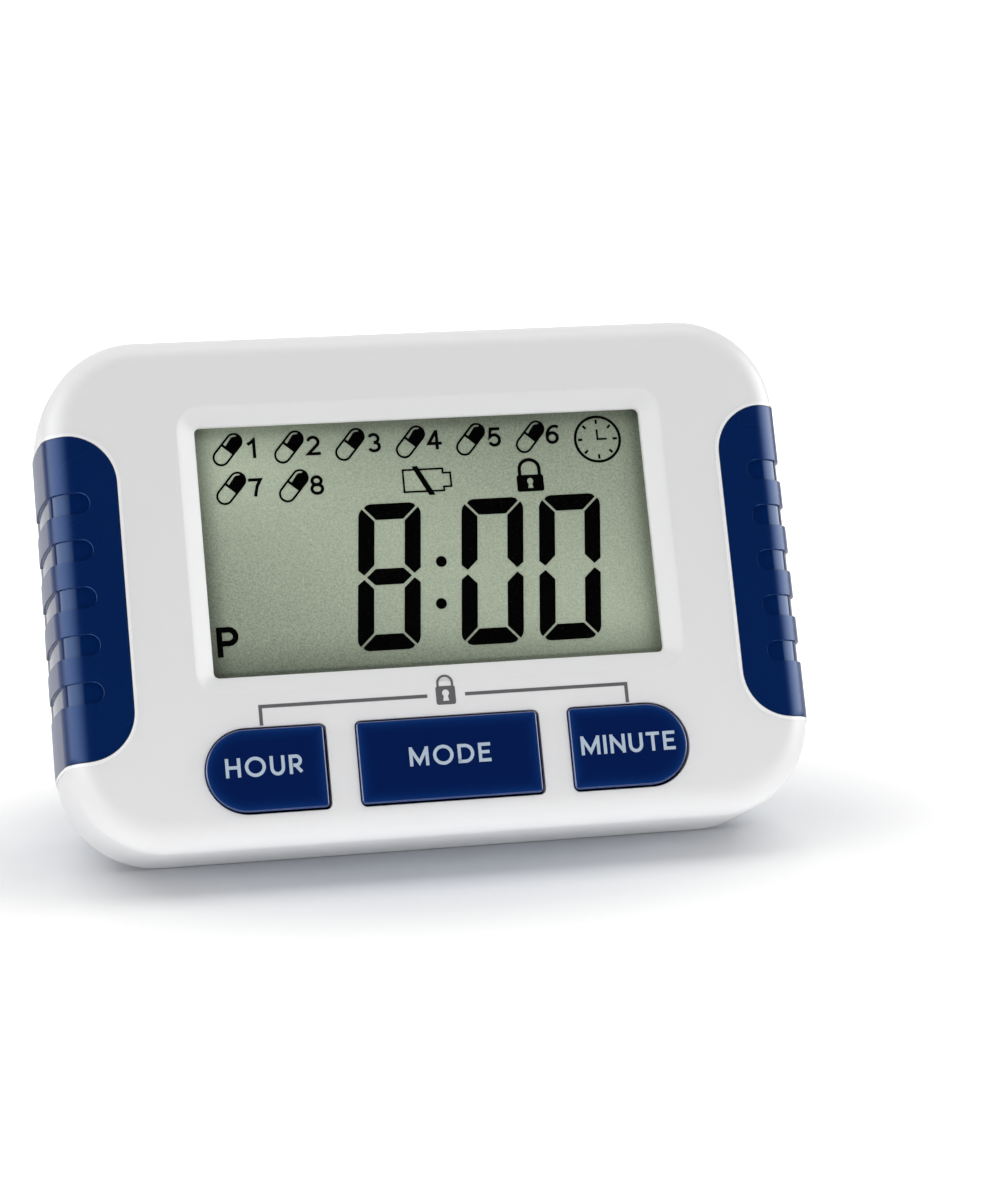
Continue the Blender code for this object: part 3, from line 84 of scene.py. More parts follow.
# %% The face's own axes
MM = 0.001
HINGE_DEPTH, HINGE_HEIGHT = 26.2, 51.2

joints = {joint["name"]: joint for joint in frame["joints"]}
across = Vector((1, 0, 0))
inward = Vector(joints["mode_button_press"]["axis"])
upward = across.cross(inward)
hinge = Vector(joints["pill_lid_hinge"]["pos_m"])
face_foot = hinge - (inward * HINGE_DEPTH + upward * HINGE_HEIGHT) * MM
to_world = Matrix.Translation(face_foot) @ Matrix((across, inward, upward)).transposed().to_4x4()
to_world = to_world @ Matrix.Scale(MM, 4)
print("foot of the face:", [round(c * 1000, 2) for c in face_foot], "mm")

# %% The sizes that the skins share, in millimetres
BODY_HALF, BODY_HEIGHT, BODY_CORNER = 41.0, 56.0, 11.0
FACE_FILLET, UNDERSIDE = 3.2, 0.05
WALL, SIDE_WALL, FRONT_BACK = 1.8, 3.7, 14.35
WINDOW = (-24.25, 24.82, 18.15, 45.40)
BUTTONS = ("hour_button", "mode_button", "minute_button")
BUTTON_LOW, BUTTON_HIGH, BUTTON_CORNER, BUTTON_GAP = 3.35, 12.45, 0.6, 0.3
MODE_HALF, SIDE_INNER, SIDE_OUTER = 9.95, 13.1, 26.2
GRIP_INNER, GRIP_LOW, GRIP_HIGH, GRIP_CORNER = 33.1, 10.0, 44.75, 5.2
GRIP_THICK, GRIP_PROUD, GRIP_GAP = 1.6, 0.12, 0.08

# %% [markdown]
# ## The camera
#
# The photograph was taken from the front, a little to the left and above, with a long lens.
# The camera stands where straight lines of the face (its outline, the window and the
# buttons) fall on the same pixels as in the photograph.

# %% Place the camera
CAMERA_OFFSET = Vector((-0.07064, -0.33982, 0.10189))
CAMERA_LOOK = Vector((0.2116, 0.9531, -0.2163)).normalized()
CAMERA_ROLL = radians(-0.524)
CAMERA_LENS = 102.5

level = CAMERA_LOOK.cross(Vector((0, 0, 1))).normalized()
above = level.cross(CAMERA_LOOK)
camera_right = level * cos(CAMERA_ROLL) + above * sin(CAMERA_ROLL)
camera_up = above * cos(CAMERA_ROLL) - level * sin(CAMERA_ROLL)
camera = bpy.data.objects.new("camera", bpy.data.cameras.new("camera"))
camera.data.lens = CAMERA_LENS
camera.data.sensor_width = 36
camera.data.clip_start = 0.01
turn = Matrix((camera_right, camera_up, -CAMERA_LOOK)).transposed().to_4x4()
camera.matrix_world = Matrix.Translation(face_foot + CAMERA_OFFSET) @ turn
bpy.context.scene.collection.objects.link(camera)
bpy.context.scene.camera = camera
print("camera is", round((face_foot - camera.matrix_world.translation).length * 1000), "mm away")

# %% [markdown]
# ## Plain soft light
#
# A white box shows its form only by how light falls off round its edges, so it wants large
# soft lamps. The main one hangs above and behind, and lays a soft shadow in front of the
# box. Two more fill from the sides, and two from low in front, which reach the underside.
# The lamps are left out of mirror images: the world below supplies those.

# %% A soft box light, aimed at the box
LAMP_AIM = Vector((0, 0, 0.03))


def soft_box(name, place, width, height, power):
    lamp = bpy.data.lights.new(name, "AREA")
    lamp.shape = "RECTANGLE"
    lamp.size, lamp.size_y = width, height
    lamp.energy = power
    holder = bpy.data.objects.new(name, lamp)
    holder.location = place
    holder.rotation_euler = (LAMP_AIM - Vector(place)).to_track_quat("-Z", "Y").to_euler()
    holder.visible_glossy = False
    bpy.context.scene.collection.objects.link(holder)
    return holder


soft_box("lamp_above", (0.0, 0.22, 0.90), 2.0, 1.4, 12.3)
for side, name, power in ((-1, "left", 1.42), (1, "right", 1.7)):
    soft_box("lamp_" + name, (side * 0.80, -0.08, 0.12), 0.4, 0.18, power)
    soft_box("lamp_low_" + name, (side * 0.45, -0.70, 0.04), 0.5, 0.06, 1.22)

# %% [markdown]
# The world is white where the camera sees it, and where glass lets it through. As a light it
# is a soft grey. Its mirror image is a small studio: a bright soft box at each side, a white
# backdrop behind, a lit ceiling, and a dark end in front, where the photographer stands. A
# navy button mirrors the dark end and keeps its colour, while the rounded edges of the box
# pick up the soft boxes.

# %% Helpers for shader nodes
def node(tree, kind, **values):
    """A node with its settings; a key that names an input sets that input's value."""
    made = tree.nodes.new(kind)
    for key, value in values.items():
        label = key.replace("_", " ")
        if label in made.inputs:
            made.inputs[label].default_value = value
        else:
            setattr(made, key, value)
    return made


def fed(tree, kind, *sources, **values):
    """The output of a node whose first inputs are fed by the sources, in order."""
    made = node(tree, kind, **values)
    for source, spot in zip(sources, made.inputs):
        tree.links.new(source, spot)
    return made.outputs[0]


def mix(tree, factor, a, b):
    """A colour between two. Each of the two is a socket, or plain red, green and blue."""
    made = node(tree, "ShaderNodeMix", data_type="RGBA")
    for key, value in (("Factor", factor), ("A", a), ("B", b)):
        if isinstance(value, tuple):
            made.inputs[key].default_value = (*value, 1)
        else:
            tree.links.new(value, made.inputs[key])
    return made.outputs["Result"]


class Number:
    """A number that nodes work out: + - * on it build Math nodes."""

    def __init__(self, tree, socket):
        self.tree, self.socket = tree, socket

    def math(self, operation, other=None):
        made = node(self.tree, "ShaderNodeMath", operation=operation)
        self.tree.links.new(self.socket, made.inputs[0])
        if isinstance(other, Number):
            self.tree.links.new(other.socket, made.inputs[1])
        elif other is not None:
            made.inputs[1].default_value = other
        return Number(self.tree, made.outputs[0])

    def __add__(self, other):
        return self.math("ADD", other)

    def __sub__(self, other):
        return self.math("SUBTRACT", other)

    def __mul__(self, other):
        return self.math("MULTIPLY", other)

    def ramp(self, start, end, low=0.0, high=1.0):
        """Runs smoothly from low to high while this number runs from start to end."""
        made = node(
            self.tree, "ShaderNodeMapRange", interpolation_type="SMOOTHSTEP",
            From_Min=start, From_Max=end, To_Min=low, To_Max=high
        )
        self.tree.links.new(self.socket, made.inputs["Value"])
        return Number(self.tree, made.outputs["Result"])

    def feeds(self, spot):
        self.tree.links.new(self.socket, spot)


def coordinates(tree, source):
    """The x, y and z of a vector socket, each as a number."""
    split = node(tree, "ShaderNodeSeparateXYZ")
    tree.links.new(source, split.inputs[0])
    return [Number(tree, spot) for spot in split.outputs]


# %% The studio that glossy surfaces mirror
WHITE = (1, 1, 1, 1)

world = bpy.data.worlds.new("studio")
world.use_nodes = True
bpy.context.scene.world = world
tree = world.node_tree
tree.nodes.clear()

# A direction's x runs from left to right, y from front to back and z up, each from -1 to 1.
x, y, z = coordinates(tree, node(tree, "ShaderNodeTexCoord").outputs["Generated"])
above_table = z.ramp(0.02, 0.05)
beside = above_table * y.ramp(0.60, 0.40) * z.ramp(0.90, 0.70)
left_box = beside * (x.ramp(-0.44, -0.62, 0.0, 1.6) + x.ramp(-0.55, -0.98, 0.0, 3.0))
right_box = beside * (x.ramp(0.70, 0.74, 0.0, 1.6) + x.ramp(0.70, 0.98, 0.0, 4.2))
backdrop = above_table * y.ramp(0.62, 0.72)
ceiling = z.ramp(0.72, 0.92, 0.0, 1.6) * y.ramp(-0.25, 0.05)
mirror = left_box + right_box + backdrop + ceiling + 0.01
light = z.ramp(0.0, 0.8, 0.02, 0.25)

paths = node(tree, "ShaderNodeLightPath").outputs
to_camera = Number(tree, paths["Is Camera Ray"])
seen = to_camera.math("MAXIMUM", Number(tree, paths["Is Transmission Ray"]))
as_light = node(tree, "ShaderNodeBackground", Color=WHITE)
as_mirror = node(tree, "ShaderNodeBackground", Color=WHITE)
as_backdrop = node(tree, "ShaderNodeBackground", Color=WHITE, Strength=1.0)
light.feeds(as_light.inputs["Strength"])
mirror.feeds(as_mirror.inputs["Strength"])
both = (as_light.outputs[0], as_mirror.outputs[0])
around = fed(tree, "ShaderNodeMixShader", paths["Is Glossy Ray"], *both)
shown = fed(tree, "ShaderNodeMixShader", seen.socket, around, as_backdrop.outputs[0])
tree.links.new(shown, node(tree, "ShaderNodeOutputWorld").inputs[0])
print("world nodes:", len(tree.nodes))

# %% [markdown]
# The floor is pale, and takes the box's shadow as any surface does. Near the box its colour
# is painted darker and bluer: a painted shadow that deepens the real one. Away from the box
# it also glows for the camera, so that it runs out into white without more light on the
# object. In front of the box, and a little below it, the paper also glows for diffuse rays:
# a painted bounce light, more than the lamps alone would give it, and that is what keeps the
# box's underside from going grey.

# %% From a mesh that is being drawn to an object in the scene
def to_mesh(name, bm):
    mesh = bpy.data.meshes.new(name)
    bm.to_mesh(mesh)
    bm.free()
    return mesh


def to_object(name, bm):
    made = bpy.data.objects.new(name, to_mesh(name, bm))
    bpy.context.scene.collection.objects.link(made)
    return made


# %% The floor
FLOOR_HALF = 3.0

bm = bmesh.new()
bmesh.ops.create_grid(bm, x_segments=1, y_segments=1, size=FLOOR_HALF)
floor = to_object("floor", bm)
floor.location.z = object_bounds()[0].z

floor_paint = bpy.data.materials.new("floor_paint")
floor_paint.use_nodes = True
tree = floor_paint.node_tree
tree.nodes.clear()

# The distance from the box in metres, along ovals that are wider than they are deep.
spot = node(tree, "ShaderNodeTexCoord").outputs["Object"]
narrow = fed(tree, "ShaderNodeVectorMath", spot, operation="MULTIPLY")
narrow.node.inputs[1].default_value = (0.7, 1.0, 1.0)
length = node(tree, "ShaderNodeVectorMath", operation="LENGTH")
tree.links.new(narrow, length.inputs[0])
distance = Number(tree, length.outputs["Value"])

# What the camera sees glow far from the box, and the painted bounce glow in front of it.
away = distance.ramp(0.020, 0.070, 0.0, 0.45) + distance.ramp(0.10, 0.35, 0.0, 0.60)
in_front = coordinates(tree, spot)[1].ramp(-0.015, -0.032, 0.0, 0.45)
painted_bounce_glow = distance.ramp(0.090, 0.040) * in_front + distance.ramp(0.045, 0.020, 0.0, 0.09)

paths = node(tree, "ShaderNodeLightPath").outputs
glow = node(tree, "ShaderNodeEmission", Color=WHITE)
share = Number(tree, paths["Is Camera Ray"]) * away + Number(tree, paths["Is Diffuse Ray"]) * painted_bounce_glow
share.feeds(glow.inputs["Strength"])
# Near the box the paper's colour is darker and bluer: a painted shadow.
paper_with_painted_shadow = mix(tree, distance.ramp(0.015, 0.040).socket, (0.74, 0.77, 0.82), (0.94, 0.94, 0.94))
both = fed(tree, "ShaderNodeAddShader", fed(tree, "ShaderNodeBsdfDiffuse", paper_with_painted_shadow), glow.outputs[0])
tree.links.new(both, node(tree, "ShaderNodeOutputMaterial").inputs[0])
floor.data.materials.append(floor_paint)
print("floor at z =", round(floor.location.z * 1000, 3), "mm")

# %% [markdown]
# ## Effects that several finishes share
#
# Moulded plastic isn't perfectly even: the steel mould leaves a fine grain that can only be
# seen in the highlights, and handling leaves a faint unevenness in the shine. Both are noise
# of different sizes, so one node group makes them, and every plastic and rubber asks it for
# its own amounts.

# %% A node group for moulded surfaces
def group_socket(tree, name, way, kind="NodeSocketFloat", value=None):
    made = tree.interface.new_socket(name=name, in_out=way, socket_type=kind)
    if value is not None:
        made.default_value = value


def noise(tree, place, scale, detail=2.0):
    made = tree.nodes.new("ShaderNodeTexNoise")
    made.inputs["Detail"].default_value = detail
    tree.links.new(place, made.inputs["Vector"])
    if isinstance(scale, (int, float)):
        made.inputs["Scale"].default_value = scale
    else:
        tree.links.new(scale, made.inputs["Scale"])
    return Number(tree, made.outputs["Fac"])


def surface_group(name, **asked_for):
    """An empty group that takes a colour and numbers, and gives what a finish needs."""
    tree = bpy.data.node_groups.new(name, "ShaderNodeTree")
    for key, value in asked_for.items():
        group_socket(tree, key.replace("_", " "), "INPUT", value=value)
    group_socket(tree, "Colour", "INPUT", "NodeSocketColor")
    group_socket(tree, "Colour", "OUTPUT", "NodeSocketColor")
    group_socket(tree, "Roughness", "OUTPUT")
    group_socket(tree, "Height", "OUTPUT")
    print(name + ":", [item.name for item in tree.interface.items_tree])
    return tree, tree.nodes.new("NodeGroupInput").outputs, tree.nodes.new("NodeGroupOutput").inputs


def scaled(tree, colour, tone):
    """A colour made darker or lighter by a number."""
    made = node(tree, "ShaderNodeVectorMath", operation="SCALE")
    tree.links.new(colour, made.inputs[0])
    tone.feeds(made.inputs["Scale"])
    return made.outputs[0]


moulded, asked, given = surface_group(
    "moulded_surface", Shine=0.35, Shine_Drift=0.05, Tone_Drift=0.02, Grain_Scale=4000.0
)
place = node(moulded, "ShaderNodeTexCoord").outputs["Object"]
wide = noise(moulded, place, 60.0, 3.0)
fine = noise(moulded, place, asked["Grain Scale"], 2.0)
drift = wide - 0.5
tone_drift = Number(moulded, asked["Tone Drift"])
tone = drift * tone_drift + (fine - 0.5) * tone_drift + 1.0
moulded.links.new(scaled(moulded, asked["Colour"], tone), given["Colour"])
shine = drift * Number(moulded, asked["Shine Drift"]) + Number(moulded, asked["Shine"])
shine.feeds(given["Roughness"])
fine.feeds(given["Height"])


# %% Finishes built on such a group
GRAIN_DEPTH = 0.00002


def finish_from(group, name, colour, grain, amounts, constants):
    """A material whose colour, roughness and grain come from a node group."""
    material = bpy.data.materials.new(name)
    material.use_nodes = True
    material.diffuse_color = (*colour, 1)
    tree = material.node_tree
    shader = tree.nodes["Principled BSDF"]
    for key, value in constants.items():
        shader.inputs[key.replace("_", " ")].default_value = value
    surface = node(tree, "ShaderNodeGroup", node_tree=group, name="surface")
    for key, value in {"Colour": (*colour, 1), **amounts}.items():
        surface.inputs[key].default_value = value
    bump = node(tree, "ShaderNodeBump", Strength=grain, Distance=GRAIN_DEPTH)
    tree.links.new(surface.outputs["Colour"], shader.inputs["Base Color"])
    tree.links.new(surface.outputs["Roughness"], shader.inputs["Roughness"])
    tree.links.new(surface.outputs["Height"], bump.inputs["Height"])
    tree.links.new(bump.outputs["Normal"], shader.inputs["Normal"])
    return material


def moulded_finish(name, colour, shine, grain, drift=0.05, tone=0.03, scale=4000.0, **constants):
    """A plastic or rubber. constants go straight onto the shader's own sockets."""
    amounts = {"Shine": shine, "Shine Drift": drift, "Tone Drift": tone, "Grain Scale": scale}
    return finish_from(moulded, name, colour, grain, amounts, constants)


def inside(material):
    """The tree of a finish, its group and its shader, for a finish that needs more."""
    tree = material.node_tree
    return tree, tree.nodes["surface"], tree.nodes["Principled BSDF"]


# %% [markdown]
# ## Tools for drawing pieces
#
# Every skin here starts as a flat outline. An outline carried through several depths makes a
# closed solid with rounded edges, and one solid cut out of another makes a hole. Blender's
# exact Boolean does the cutting, on temporary objects that are thrown away at once, so no
# modifier is left that depends on another object.

# %% Outlines
def arc(centre, radius, start, sweep, steps):
    """Points on an arc; radius is a number or a pair, angles in radians."""
    wide, high = radius if isinstance(radius, tuple) else (radius, radius)
    turns = [start + sweep * i / steps for i in range(steps + 1)]
    return [(centre[0] + wide * cos(a), centre[1] + high * sin(a)) for a in turns]


def rounded(left, right, low, high, radius, steps=12):
    """A rounded rectangle, anticlockwise."""
    outline = arc((right - radius, high - radius), radius, 0, pi / 2, steps)
    outline += arc((left + radius, high - radius), radius, pi / 2, pi / 2, steps)
    outline += arc((left + radius, low + radius), radius, pi, pi / 2, steps)
    return outline + arc((right - radius, low + radius), radius, -pi / 2, pi / 2, steps)


def body_outline(inset, raised=None):
    """The body's outline, drawn in by an inset; raised says how far its underside moves up."""
    half = BODY_HALF - inset
    outline = rounded(-half, half, inset, BODY_HEIGHT - inset, BODY_CORNER - inset, 20)
    if raised is None:
        return outline
    middle = BODY_HEIGHT / 2
    squeeze = (middle - raised) / (middle - inset)
    return [(x, z if z > middle else middle - (middle - z) * squeeze) for x, z in outline]


def grown(box, grow, radius, steps=6):
    """A rectangle (left, right, low, high), grown all round, with round corners."""
    left, right, low, high = box
    return rounded(left - grow, right + grow, low - grow, high + grow, radius + grow, steps)


def button_outline(name, grow):
    """One button's outline: the middle one is a rectangle, the outer ones end in a half circle."""
    low, high = BUTTON_LOW - grow, BUTTON_HIGH + grow
    corner = max(BUTTON_CORNER + grow, 0.05)
    if name == "mode_button":
        return rounded(-MODE_HALF - grow, MODE_HALF + grow, low, high, corner, 6)
    end = (high - low) / 2
    inner, outer = SIDE_INNER - grow, SIDE_OUTER + grow
    outline = arc((outer - end, (low + high) / 2), end, -pi / 2, pi, 32)
    outline += arc((inner + corner, high - corner), corner, pi / 2, pi / 2, 6)
    outline += arc((inner + corner, low + corner), corner, pi, pi / 2, 6)
    if name == "minute_button":
        return outline
    return [(-x, z) for x, z in outline][::-1]


def grip_outline(side, grow=0.0):
    """A grip's outline on the face; it runs out past the side of the box."""
    inner, outer = GRIP_INNER - grow, BODY_HALF + GRIP_CORNER + 3
    left, right = (inner, outer) if side > 0 else (-outer, -inner)
    return rounded(left, right, GRIP_LOW - grow, GRIP_HIGH + grow, GRIP_CORNER + grow, 20)


# %% Solids
def through(sections):
    """A closed solid through outlines of equal length, each with its depth, front first."""
    bm = bmesh.new()
    rings = [[bm.verts.new((x, y, z)) for x, z in outline] for y, outline in sections]
    for near, far in zip(rings, rings[1:]):
        for i in range(len(near)):
            j = (i + 1) % len(near)
            bm.faces.new((near[i], near[j], far[j], far[i]))
    bm.faces.new(rings[0][::-1])
    bm.faces.new(rings[-1])
    bmesh.ops.recalc_face_normals(bm, faces=bm.faces)
    return bm


def prism(outline, front, back):
    return through([(front, outline), (back, outline)])


SIDE_IN, SIDE_BULGE, WIDEST_AT = 0.29, 0.0083, 9.3
SIDE_DEPTHS, RIM_STEPS = (4.2, 5.6, 7.2, 9.0, 10.8, 12.6, FRONT_BACK), 12


def lean(depth):
    """How far the side lies inside the full width: it bulges a little, most at mid depth."""
    return SIDE_IN + SIDE_BULGE * (depth - WIDEST_AT) ** 2


def body_form(inset, back):
    """The outside of the front half, drawn in by an inset, with its rounded rim."""
    fillet, sections = FACE_FILLET - inset, []
    for i in range(RIM_STEPS + 1):
        angle = pi / 2 * i / RIM_STEPS
        side = inset + lean(FACE_FILLET) + fillet * (1 - sin(angle))
        raised = side - lean(FACE_FILLET) + UNDERSIDE
        sections.append((inset + fillet * (1 - cos(angle)), body_outline(side, raised)))
    for depth in SIDE_DEPTHS:
        sections.append((depth, body_outline(inset + lean(depth), inset + UNDERSIDE)))
    if back > FRONT_BACK:
        sections.append((back, sections[-1][1]))
    return through(sections)


def inset_at(point):
    """How far a point lies below the outer surface of the front half."""
    x, y, z = point
    reach_x = abs(x) - (BODY_HALF - BODY_CORNER)
    reach_z = abs(z - BODY_HEIGHT / 2) - (BODY_HEIGHT / 2 - BODY_CORNER)
    if min(reach_x, reach_z) > 0:
        side = BODY_CORNER - (reach_x ** 2 + reach_z ** 2) ** 0.5
    else:
        side = BODY_CORNER - max(reach_x, reach_z)
    if y >= FACE_FILLET:
        return side - lean(y)
    flat_from = FACE_FILLET + lean(FACE_FILLET)
    if side >= flat_from:
        return y
    return FACE_FILLET - ((flat_from - side) ** 2 + (FACE_FILLET - y) ** 2) ** 0.5


def pour(bm, solid):
    """Adds a solid to a mesh as it is, and frees it."""
    mesh = to_mesh("poured", solid)
    bm.from_mesh(mesh)
    bpy.data.meshes.remove(mesh)


def boolean(base, other, operation="DIFFERENCE"):
    """Combines two closed solids and frees them both."""
    stand_ins = [to_object("stand_in", bm) for bm in (base, other)]
    step = stand_ins[0].modifiers.new("step", "BOOLEAN")
    step.operation, step.solver, step.object = operation, "EXACT", stand_ins[1]
    seen = stand_ins[0].evaluated_get(bpy.context.evaluated_depsgraph_get())
    result = bmesh.new()
    result.from_mesh(seen.to_mesh())
    for stand_in in stand_ins:
        mesh = stand_in.data
        bpy.data.objects.remove(stand_in)
        bpy.data.meshes.remove(mesh)
    return result


# %% [markdown]
# A finished solid becomes a piece: it is carried to the world, shaded smooth with its real
# edges kept sharp, and told which body of the CAD model it moves with. The Weighted Normal
# modifier lets large flat faces decide how their rims are shaded, which is what keeps a
# moulded face looking flat right up to its rounded edge.

# %% From a solid to a piece
def piece(name, bm, *coats, body="case", slot=None, sharp=38):
    bmesh.ops.transform(bm, matrix=to_world, verts=bm.verts)
    made = to_object(name, bm)
    for coat in coats:
        made.data.materials.append(coat)
    made.data.shade_smooth()
    made.data.set_sharp_from_angle(angle=radians(sharp))
    even = made.modifiers.new("flat_faces_stay_flat", "WEIGHTED_NORMAL")
    even.keep_sharp = True
    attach(made, body)
    return made


def round_edges(bm, width, chosen, segments=3):
    """Rounds the edges for which chosen(edge) is true."""
    edges = [e for e in bm.edges if len(e.link_faces) == 2 and chosen(e)]
    bmesh.ops.bevel(
        bm, geom=edges, offset=width, segments=segments, profile=0.5,
        affect="EDGES", clamp_overlap=True
    )
    return len(edges)


# %% [markdown]
# ## The white front shell
#
# The face is one thin moulding. Three kinds of hole go through it: the window, whose edge
# slopes down to the lens, the button holes, whose rims are softly rounded, and the seats of
# the grips, which wrap round the sides and have a fine raised bead along their edge. The
# hole cutters get wider towards the front, so the rims come out rounded by the cut itself,
# and no bevel has to find its way round a corner. The screw posts on its hidden side are
# left to the CAD model.

# %% The shell's finish
shell_white = moulded_finish(
    "shell_white", (0.80, 0.80, 0.805), 0.34, 0.25,
    tone=0.012, scale=5200.0, Specular_IOR_Level=0.45
)
# The bead is the same white moulding as the face; its lighter white is a painted highlight.
bead_painted_highlight = moulded_finish(
    "bead_painted_highlight", (0.89, 0.89, 0.90), 0.22, 0.1,
    tone=0.01, scale=5200.0, Specular_IOR_Level=0.5
)

# %% Cutters with rounded rims
CUTTER_AHEAD, JOINED = 0.6, 0.001


def rim(reach, depth, steps, start=8):
    """How far a rounded rim stands out from its hole at each depth, front first."""
    found = []
    for i in range(steps + 1):
        angle = radians(start) + (pi / 2 - radians(start)) * i / steps
        found.append((reach * (1 - sin(angle)), depth * (1 - cos(angle))))
    return found


def flared(outline_at, rims, back):
    """A cutter whose outline follows the rims, then runs straight to the back."""
    first_grow, first_depth = rims[0]
    next_grow, next_depth = rims[1]
    slope = (first_grow - next_grow) / (next_depth - first_depth)
    sections = [(-CUTTER_AHEAD, outline_at(first_grow + slope * (first_depth + CUTTER_AHEAD)))]
    sections += [(depth, outline_at(grow)) for grow, depth in rims]
    return through(sections + [(back, outline_at(0.0))])


# %% Cut the face
BEAD_WIDTH, BEAD_PROUD, BEAD_ROOT = 0.36, 0.14, 0.2
SEAT_ROOM, HOLE_ROOM, WINDOW_CORNER = 0.3, 0.03, 0.6

# Each cutter overruns by an amount of its own, so that no two faces share a plane.
shell = body_form(0, FRONT_BACK)
half = BODY_HALF - SIDE_WALL
deep = rounded(-half, half, WALL, BODY_HEIGHT - WALL, BODY_CORNER - SIDE_WALL)
shell = boolean(shell, prism(deep, SIDE_WALL, FRONT_BACK + 2))
middle = GRIP_INNER - WALL - SEAT_ROOM
shallow = rounded(-middle, middle, WALL, BODY_HEIGHT - WALL, WALL)
shell = boolean(shell, prism(shallow, WALL, SIDE_WALL + 0.4))
window_rim = [(2.05, 0.02), (1.86, 0.10), (1.62, 0.25), (0.12, 1.24), (0.04, 1.33), (0.0, 1.45)]
window = flared(lambda grow: grown(WINDOW, grow, WINDOW_CORNER), window_rim, WALL + 2)
shell = boolean(shell, window)
hole_rim = rim(0.07, 0.08, 3)
for name in BUTTONS:
    hole = flared(lambda grow: button_outline(name, grow + HOLE_ROOM), hole_rim, SIDE_WALL + 2)
    shell = boolean(shell, hole)
for side in (-1, 1):
    bead = prism(grip_outline(side, GRIP_GAP + BEAD_WIDTH), -2, FRONT_BACK)
    bead = boolean(bead, body_form(-BEAD_PROUD, FRONT_BACK + 2), "INTERSECT")
    bead = boolean(bead, body_form(WALL - BEAD_ROOT, FRONT_BACK + 3))
    shell = boolean(shell, bead, "UNION")
    seat = prism(grip_outline(side, GRIP_GAP), -2, FRONT_BACK + 2)
    seat = boolean(seat, body_form(GRIP_THICK + SEAT_ROOM, FRONT_BACK + 4))
    shell = boolean(shell, seat)
bmesh.ops.remove_doubles(shell, verts=shell.verts, dist=JOINED)
print("shell faces before the beads are rounded:", len(shell.faces))


# %% Round the beads
def on_bead(edge):
    ends = [v.co for v in edge.verts]
    outside = all(abs(inset_at(p) + BEAD_PROUD) < 0.03 and p.y < FRONT_BACK - 0.01 for p in ends)
    return outside and edge.calc_face_angle(0) > radians(50)


BEAD_EDGE, BEAD_REACH = 0.125, 0.6
print("bead edges:", round_edges(shell, BEAD_EDGE, on_bead, 4))
# Faces on the beads beside the grips get that lighter white, the painted highlight.
for face in shell.faces:
    middle = face.calc_center_median()
    level_with_grip = GRIP_LOW - BEAD_REACH < middle.z < GRIP_HIGH + BEAD_REACH
    beside_grip = abs(middle.x) > GRIP_INNER - 2 and level_with_grip
    face.material_index = int(beside_grip and inset_at(middle) < -0.02)
front_skin = piece("front_shell_skin", shell, shell_white, bead_painted_highlight, slot="white_plastic")
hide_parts("front_shell")
print("front shell skin:", len(front_skin.data.polygons), "faces")

# %% [markdown]
# ## The rubber grips
#
# Each grip is a skin of navy rubber, let into the side of the shell. It is the body's own
# outer form, kept where the grip's outline passes through it, so that it bends round the
# front edge exactly as the shell does. Five slots give the fingers a hold. Their floors were
# polished in the mould, and the ribs between them keep a fine grain.

# %% The grips' finishes
NAVY, NAVY_SHEEN = (0.0012, 0.0150, 0.088), (0.42, 0.62, 1.0, 1)

sheen = {"Specular_IOR_Level": 0.5, "Specular_Tint": NAVY_SHEEN}
grip_rubber = moulded_finish("grip_rubber", NAVY, 0.27, 0.25, tone=0.10, scale=12000.0, **sheen)
slot_rubber = moulded_finish("slot_rubber", NAVY, 0.10, 0.0, drift=0.04, tone=0.10, **sheen)
# The slot walls and their rounded edges are polished and painted a lighter blue: a painted
# highlight.
slot_edge_painted_highlight = moulded_finish(
    "slot_edge_painted_highlight", (0.070, 0.175, 0.46), 0.12, 0.0, drift=0.03, tone=0.10, Specular_IOR_Level=1.0
)

# %% Cut the grips
SLOTS, SLOT_PITCH, SLOT_HEIGHT, SLOT_INNER, SLOT_DEPTH = 5, 5.07, 2.3, 36.05, 0.30
GRIP_EDGE = 0.12


def finger_slots(side):
    """Five blades with round inner ends, one above the other."""
    blades = bmesh.new()
    radius = SLOT_HEIGHT / 2
    lowest = (GRIP_LOW + GRIP_HIGH - SLOT_PITCH * (SLOTS - 1)) / 2
    for i in range(SLOTS):
        z = lowest + SLOT_PITCH * i
        outline = arc((SLOT_INNER + radius, z), radius, pi / 2, pi, 16)
        outline += [(BODY_HALF + 2, z - radius), (BODY_HALF + 2, z + radius)]
        pour(blades, prism([(x * side, up) for x, up in outline], -2, FRONT_BACK + 2))
    return blades


for side, label in ((-1, "left_grip"), (1, "right_grip")):
    grip = prism(grip_outline(side), -2, FRONT_BACK)
    grip = boolean(grip, body_form(-GRIP_PROUD, FRONT_BACK + 2), "INTERSECT")
    grip = boolean(grip, body_form(GRIP_THICK, FRONT_BACK + 3))
    slots = boolean(finger_slots(side), body_form(SLOT_DEPTH - GRIP_PROUD, FRONT_BACK + 4))
    grip = boolean(grip, slots)
    bmesh.ops.remove_doubles(grip, verts=grip.verts, dist=JOINED)
    count = round_edges(grip, GRIP_EDGE, lambda e: e.calc_face_angle(0) > radians(45), 3)
    floor_level = SLOT_DEPTH - GRIP_PROUD
    # Slot floors get the polished navy; slot walls and edges the lighter blue of the painted
    # highlight.
    for face in grip.faces:
        middle = face.calc_center_median()
        among_slots = GRIP_LOW + 1 < middle.z < GRIP_HIGH - 1 and SLOT_INNER - 0.3 < abs(middle.x)
        on_wall = 0.02 - GRIP_PROUD < inset_at(middle) < floor_level - 0.01
        if all(abs(inset_at(v.co) - floor_level) < 0.02 for v in face.verts):
            face.material_index = 1
        elif among_slots and on_wall and middle.y < FRONT_BACK - 0.3:
            face.material_index = 2
    skin = piece(label + "_skin", grip, grip_rubber, slot_rubber, slot_edge_painted_highlight, slot="navy_rubber")
    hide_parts(label)
    print(label, "edges rounded:", count, "faces:", len(skin.data.polygons))
